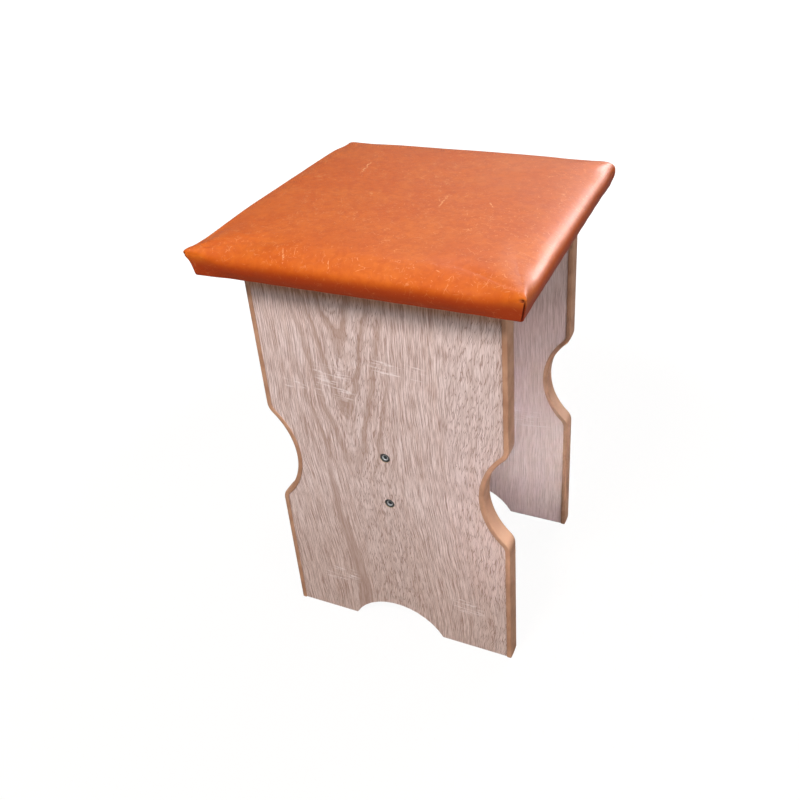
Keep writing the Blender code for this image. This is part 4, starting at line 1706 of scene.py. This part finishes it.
@dataclass
class PanelScrews:
    """Four countersunk socket screws that hold the panels to the stretcher."""

    sink: float = 0.0003
    middle: float = 0.203
    pitch: float = 0.057
    head: float = 0.010
    rim: float = 0.0010
    cone: float = 0.0035
    neck: float = 0.0070
    neck_length: float = 0.014
    core: float = 0.0052
    length: float = 0.050
    tip: float = 0.003
    tip_radius: float = 0.001
    shoulder: float = 0.0004
    socket: float = 0.0040
    socket_depth: float = 0.0028
    drill_point: Point = (0.0002, 0.0004)
    floor_share: float = 0.94
    floor_edge: float = 0.0002
    mouth_levels: Point = (0.00105, 0.00090)
    mouth_flare: float = 0.0003
    dish: tuple[Point, Point] = ((0.60, 0.00055), (0.74, 0.00006))
    broken_edge: tuple[Point, ...] = ((0.0004, 0.0), (0.0001, 0.0001), (0.0, 0.0004))
    spin: float = 0.35
    steps: int = 72
    finish: Steel = Steel(
        "dark oiled steel", (0.34, 0.37, 0.39), (0.24, 0.26, 0.27), (0.66, 0.67, 0.68), rough=(0.24, 0.38)
    )
    # Wear and a painted highlight: paler, half-metallic steel on the rings round the socket, so that they
    # catch the lamps.
    worn: Steel = Steel(
        "worn socket steel",
        (0.70, 0.74, 0.76),
        (0.52, 0.55, 0.57),
        (0.86, 0.87, 0.88),
        rough=(0.30, 0.45),
        metallic=0.3,
    )
    worn_highlight_rings: range = range(3, 5)

    def build(self) -> None:
        """Build and dress the four screws."""
        mesh = self.screw()
        mesh.materials.append(self.finish.material())
        mesh.materials.append(self.worn.material())
        # The rings round the socket get the paler steel: wear and painted highlight.
        for index in range(self.worn_highlight_rings.start * self.steps, self.worn_highlight_rings.stop * self.steps):
            mesh.polygons[index].material_index = 1
        face = PANELS.standing(self.sink)
        for end in End:
            for level, sign in (("upper", 1), ("lower", -1)):
                height = Matrix.Translation((0, 0, self.middle + sign * self.pitch / 2))
                spin = Matrix.Rotation(self.spin * sign + end.value, 4, "Z")
                name = f"{end.word}_{level}_panel_screw"
                add_piece(name + "_turned", mesh, Slot.DARK_STEEL, (name,), end.turn @ height @ face @ spin)

    def hexagon(self, flats: float) -> Radius:
        """Give the rule of a hexagon's radius, from its width across flats."""
        third = math.pi / 3
        return lambda angle: flats / 2 / math.cos((angle + third / 2) % third - third / 2)

    def screw(self) -> bpy.types.Mesh:
        """Turn the screw, its head's top at Z 0 and its tip down.

        Returns:
            The screw's mesh.
        """
        floor = -self.socket_depth
        head = self.head / 2
        point_radius, point_depth = self.drill_point
        wall_top, mouth = self.mouth_levels
        rings: list[tuple[Radius, float]] = [
            (point_radius, floor - point_depth),
            (self.hexagon(self.socket * self.floor_share), floor),
            (self.hexagon(self.socket), floor + self.floor_edge),
            (self.hexagon(self.socket), -wall_top),
            (self.hexagon(self.socket + self.mouth_flare), -mouth),
        ]
        rings += [(head * share, -depth) for share, depth in self.dish]
        rings += [(head - inset, -depth) for inset, depth in self.broken_edge]
        rings += [
            (head, -self.rim),
            (self.neck / 2, -self.cone),
            (self.neck / 2, -self.neck_length),
            (self.core / 2, -self.neck_length - self.shoulder),
            (self.core / 2, self.tip - self.length),
            (self.tip_radius, -self.length),
        ]
        return turned_mesh("panel_screw", self.steps, rings)


@dataclass
class BracketScrews:
    """Sixteen pan-head screws with a cross recess, four in each angle bracket."""

    plate: float = 0.0020
    leg: float = 0.030
    spacing: float = 0.130
    inset: float = 0.0070
    pitch: float = 0.0110
    length: float = 0.0130
    tip: float = 0.003
    shank: float = 0.0035
    tip_radius: float = 0.0002
    head: float = 0.0070
    head_height: float = 0.0022
    broken_edge: float = 0.0001
    recess_point: Point = (0.0001, 0.0016)
    recess: tuple[Triple, ...] = ((0.0009, 0.0003, 0.0013), (0.0016, 0.00045, 0.0001), (0.0018, 0.00055, 0.0))
    dome: tuple[Point, ...] = ((0.62, 0.0001), (0.85, 0.0005), (0.97, 0.0010), (1.0, 0.0015))
    steps: int = 64
    finish: Steel = Steel(
        "bright zinc", (0.60, 0.60, 0.57), (0.47, 0.46, 0.42), (0.74, 0.74, 0.72), rough=(0.24, 0.42)
    )

    def build(self) -> None:
        """Build and dress the screws, and dress the brackets with the same zinc."""
        zinc = self.finish.material()
        mesh = self.screw()
        mesh.materials.append(zinc)
        inner_face = -PANELS.spread / 2 + PANELS.thickness + PANELS.gap
        lay = Matrix(((0, 0, 1, 0), (1, 0, 0, 0), (0, 1, 0, 0), (0, 0, 0, 1)))
        for end in End:
            for sign in (-1, 1):
                bracket = f"{end.word}_{end.side(sign)}_bracket"
                dress_node(bracket, zinc, Slot.ZINC)
                corner = Matrix.Translation((sign * self.spacing / 2, inner_face, PANELS.height))
                for name, spot in self.places():
                    node = f"{bracket}_{name}"
                    add_piece(node + "_turned", mesh, Slot.ZINC, (node,), end.turn @ corner @ lay @ spot)

    def places(self) -> list[tuple[str, Matrix]]:
        """List the four screws' names and places in a bracket's own frame.

        Returns:
            A name and a place for each screw.
        """
        seat = self.plate + PANELS.gap
        outer = self.leg - self.inset
        found = []
        for number, reach in enumerate((outer - self.pitch, outer), start=1):
            spin = Matrix.Rotation(0.5 + 0.9 * number, 4, "Z")
            down = Matrix.Translation((seat, -reach, 0)) @ Matrix.Rotation(QUARTER, 4, "Y") @ spin
            up = Matrix.Translation((reach, -seat, 0)) @ Matrix.Rotation(QUARTER, 4, "X") @ spin
            found += [(f"panel_screw_{number}", down), (f"seat_screw_{number}", up)]
        return found

    def cross(self, arm: float, half_width: float) -> Radius:
        """Give the rule of a cross's radius, from its arms' length and half width.

        Args:
            arm: length of an arm from the middle.
            half_width: half an arm's width.

        Returns:
            The rule.
        """

        def radius(angle: float) -> float:
            """Reach of the cross at an angle."""
            c, s = abs(math.cos(angle)) + 1e-9, abs(math.sin(angle)) + 1e-9
            return max(min(arm / c, half_width / s), min(half_width / c, arm / s))

        return radius

    def screw(self) -> bpy.types.Mesh:
        """Turn the screw, its head's underside at Z 0 and its tip down.

        Returns:
            The screw's mesh.
        """
        head = self.head / 2
        top = self.head_height
        point_radius, point_depth = self.recess_point
        rings: list[tuple[Radius, float]] = [(point_radius, top - point_depth)]
        rings += [(self.cross(arm, half_width), top - depth) for arm, half_width, depth in self.recess]
        rings += [(head * share, top - depth) for share, depth in self.dome]
        rings += [(head, self.broken_edge), (head - self.broken_edge, 0.0), (self.shank / 2, 0.0)]
        rings += [(self.shank / 2, self.tip - self.length), (self.tip_radius, -self.length)]
        return turned_mesh("bracket_screw", self.steps, rings)


@dataclass
class Boards:
    """The panels, the stretcher and the seat board: solids that keep their shape."""

    front: OakLaminate = OakLaminate(
        "oak laminate, front panel",
        thickness=Axis.Y,
        across=(Axis.X, 1.0, 0.0),
        along=(Axis.Z, 0.0),
        cut=OakCut(
            crest=-0.036,
            ring=0.284,
            rings_from=0.19,
            lean=0.022,
            band_foot=-0.063,
            band_shift=0.021,
            band_weight=1.0,
        ),
        sawn=(
            (-0.046, 0.309, 0.022, 0.018),
            (-0.068, 0.055, 0.022, 0.010),
            (0.078, 0.058, 0.018, 0.010),
            (0.020, 0.335, 0.030, 0.008),
            (-0.088, 0.300, 0.016, 0.006),
        ),
        # Painted shade on the front panel under the seat's edge.
        painted_shade=1.0,
    )
    rear: OakLaminate = OakLaminate(
        "oak laminate, rear panel",
        thickness=Axis.Y,
        across=(Axis.X, -1.0, 0.31),
        along=(Axis.Z, 0.37),
        cut=OakCut(crest=0.352, ring=0.610, lean=-0.01),
        sawn=((0.230, 0.520, 0.025, 0.012), (0.355, 0.640, 0.030, 0.015), (0.270, 0.720, 0.028, 0.010)),
        # A lighter, paler copy of the oak: painted light on the rear panel's inner face.
        tint=(1.16, 1.16, 1.18),
        painted_light_share=0.45,
    )
    stretcher: OakLaminate = OakLaminate(
        "oak laminate, stretcher",
        thickness=Axis.X,
        across=(Axis.Z, 1.0, 0.83),
        along=(Axis.Y, 0.64),
        cut=OakCut(crest=1.07, ring=0.650),
        sawn=((1.020, 0.620, 0.020, 0.012), (1.050, 0.690, 0.020, 0.010)),
    )
    underside: Chipboard = Chipboard()

    def build(self) -> None:
        """Dress the four boards."""
        oak = {"front_panel": self.front, "rear_panel": self.rear, "stretcher": self.stretcher}
        for node, finish in oak.items():
            dress_node(node, finish.material(), Slot.OAK)
        dress_node("seat_board", self.underside.material(), Slot.CHIPBOARD)


@dataclass(frozen=True)
class Lamp:
    """One soft rectangular lamp: where it hangs, where it points, and what it lights."""

    name: str
    place: Place
    target: Place
    size: Point
    power: float
    colour: Colour
    spread: float = math.pi
    lights: bool = False
    mirrors: bool = False

    def hang(self) -> None:
        """Hang the lamp."""
        light = bpy.data.lights.new(self.name, "AREA")
        light.shape = "RECTANGLE"
        light.size, light.size_y = self.size
        light.energy = self.power
        light.color = self.colour
        light.spread = self.spread
        hung = link(self.name, light)
        hung.visible_diffuse = self.lights
        hung.visible_glossy = self.mirrors
        hung.location = self.place
        hung.rotation_euler = (Vector(self.target) - Vector(self.place)).to_track_quat("-Z", "Y").to_euler()


LIGHTING = (
    Lamp("key light", (-0.15, -1.3, 1.75), (0, 0, 0.35), (0.4, 0.4), 31.0, (1.0, 0.98, 0.96), lights=True),
    Lamp("window light", (0.45, 1.8, 1.6), (0.05, 0, 0.44), (1.5, 0.8), 28.0, (1.0, 0.96, 0.97), lights=True),
    Lamp("side fill", (1.7, -1.0, 0.75), (0, 0.05, 0.2), (0.9, 0.9), 14.0, (0.94, 0.96, 1.0), lights=True),
    Lamp(
        "inner fill",
        (0.9, -1.4, 0.5),
        (0.12, 0.1, 0.14),
        (0.1, 0.1),
        0.080,
        (0.97, 0.97, 1.0),
        spread=math.radians(10),
        lights=True,
    ),
    Lamp("window pane", (1.06, 1.6, 1.3), (0.14, 0, 0.45), (0.7, 0.7), 24.0, (1.0, 0.92, 0.95), mirrors=True),
    Lamp("camera card", (0.57, -0.92, 0.99), (0, -0.114, 0.2), (0.3, 0.3), 0.9, (1, 1, 1), mirrors=True),
    Lamp("ceiling card", (0, -0.6, 2.4), (0, -0.6, 0.45), (2.5, 5.6), 44.5, (1.0, 0.97, 0.95), mirrors=True),
)


@dataclass
class Studio:
    """A pale floor, soft light and the camera at the photograph's viewing angle."""

    camera_place: Place = (0.31391, -0.67670, 0.73742)
    heading: float = math.radians(25.115)
    tilt: float = math.radians(30.591)
    roll: float = math.radians(-4.064)
    lens: float = 38.114
    sensor: float = 36.0
    shift: Point = (-0.030, -0.0725)
    ambient: float = 0.21
    ambient_colour: Colour = (0.97, 0.97, 1.0)
    floor_size: float = 12.0
    floor_drop: float = 0.0003
    floor_colour: Colour = (0.30, 0.27, 0.24)
    floor_mirrored: Colour = (0.12, 0.10, 0.085)
    floor_white: float = 0.80
    floor_rings: Point = (0.45, 1.1)
    floor_glow: float = 1.18
    mirrored: float = 0.22
    window_glow: float = 1.2
    window_way: Place = (0.30, 0.78, 0.55)
    window_edge: float = 0.62
    lamps: tuple[Lamp, ...] = LIGHTING

    def build(self) -> None:
        """Build the floor, the lights, the surroundings and the camera."""
        bpy.context.scene.view_settings.view_transform = "Standard"
        self.floor()
        self.surroundings()
        for lamp in self.lamps:
            lamp.hang()
        self.camera()

    def floor(self) -> None:
        """Lay a white floor that keeps the stool's shadow and is clear from below."""
        reach = self.floor_size / 2
        corners = [(x * reach, y * reach, -self.floor_drop) for x, y in ((-1, -1), (1, -1), (1, 1), (-1, 1))]
        mesh = make_mesh("floor", np.array(corners), [(0, 1, 2, 3)])
        board = FinishBoard("white floor")
        board.shader.inputs["Roughness"].default_value = 0.9
        path = board.add("ShaderNodeLightPath").outputs
        colour = board.mix(path["Is Glossy Ray"], self.floor_colour, self.floor_mirrored)
        board.feed(board.shader.inputs["Base Color"], colour)
        glow = board.add("ShaderNodeEmission", {"Strength": self.floor_glow})
        away = board.add("ShaderNodeVectorMath", {0: board.place}, operation="LENGTH").outputs["Value"]
        white = board.ease(away, *self.floor_rings, self.floor_white, 1.0)
        share = board.times(path["Is Camera Ray"], white)
        blend = board.add("ShaderNodeMixShader", {0: share, 1: board.shader.outputs[0], 2: glow.outputs[0]})
        below = board.add("ShaderNodeNewGeometry").outputs["Backfacing"]
        clear = board.add("ShaderNodeBsdfTransparent")
        one_way = board.add("ShaderNodeMixShader", {0: below, 1: blend.outputs[0], 2: clear.outputs[0]})
        board.feed(board.tree.nodes["Material Output"].inputs["Surface"], one_way.outputs[0])
        mesh.materials.append(board.material)
        floor = link("floor", mesh)

    def surroundings(self) -> None:
        """Surround the stool with soft light, and with white where the surroundings are seen.

        The white is full for the camera, dimmer in reflections, and bright at the window there.
        """
        world = bpy.data.worlds.new("studio")
        world.use_nodes = True
        bpy.context.scene.world = world
        board = NodeBoard(world.node_tree)
        soft = world.node_tree.nodes["Background"]
        soft.inputs["Color"].default_value = opaque(self.ambient_colour)
        soft.inputs["Strength"].default_value = self.ambient
        path = board.add("ShaderNodeLightPath").outputs
        seen = board.highest(path["Is Camera Ray"], path["Is Glossy Ray"], path["Is Transmission Ray"])
        way = board.add("ShaderNodeTexCoord").outputs["Generated"]
        toward = board.alike(way, self.window_way)
        glow = board.ease(toward, self.window_edge, 1.0, self.mirrored, self.mirrored + self.window_glow)
        level = board.scaled(path["Is Glossy Ray"], board.minus(glow, 1.0), 1.0)
        white = board.add("ShaderNodeBackground", {"Color": opaque((1, 1, 1)), "Strength": level})
        blend = board.add("ShaderNodeMixShader", {0: seen, 1: soft.outputs[0], 2: white.outputs[0]})
        board.feed(world.node_tree.nodes["World Output"].inputs["Surface"], blend.outputs[0])

    def camera(self) -> None:
        """Set up the camera."""
        data = bpy.data.cameras.new("camera")
        data.sensor_width = self.sensor
        data.lens = self.lens
        data.shift_x, data.shift_y = self.shift
        camera = link("camera", data)
        turn = Matrix.Rotation(self.heading, 4, "Z") @ Matrix.Rotation(QUARTER - self.tilt, 4, "X")
        place = Matrix.Translation(self.camera_place)
        camera.matrix_world = place @ turn @ Matrix.Rotation(self.roll, 4, "Z")
        bpy.context.scene.camera = camera


def main() -> None:
    """Build the stool's looks in order, and the studio around it."""
    logging.basicConfig(level=logging.INFO, format="%(message)s")
    Boards().build()
    Edgings().build()
    PanelScrews().build()
    BracketScrews().build()
    seat = Seat()
    seat.build()
    Staples(seat).build()
    Studio().build()


if __name__ == "__main__":
    main()
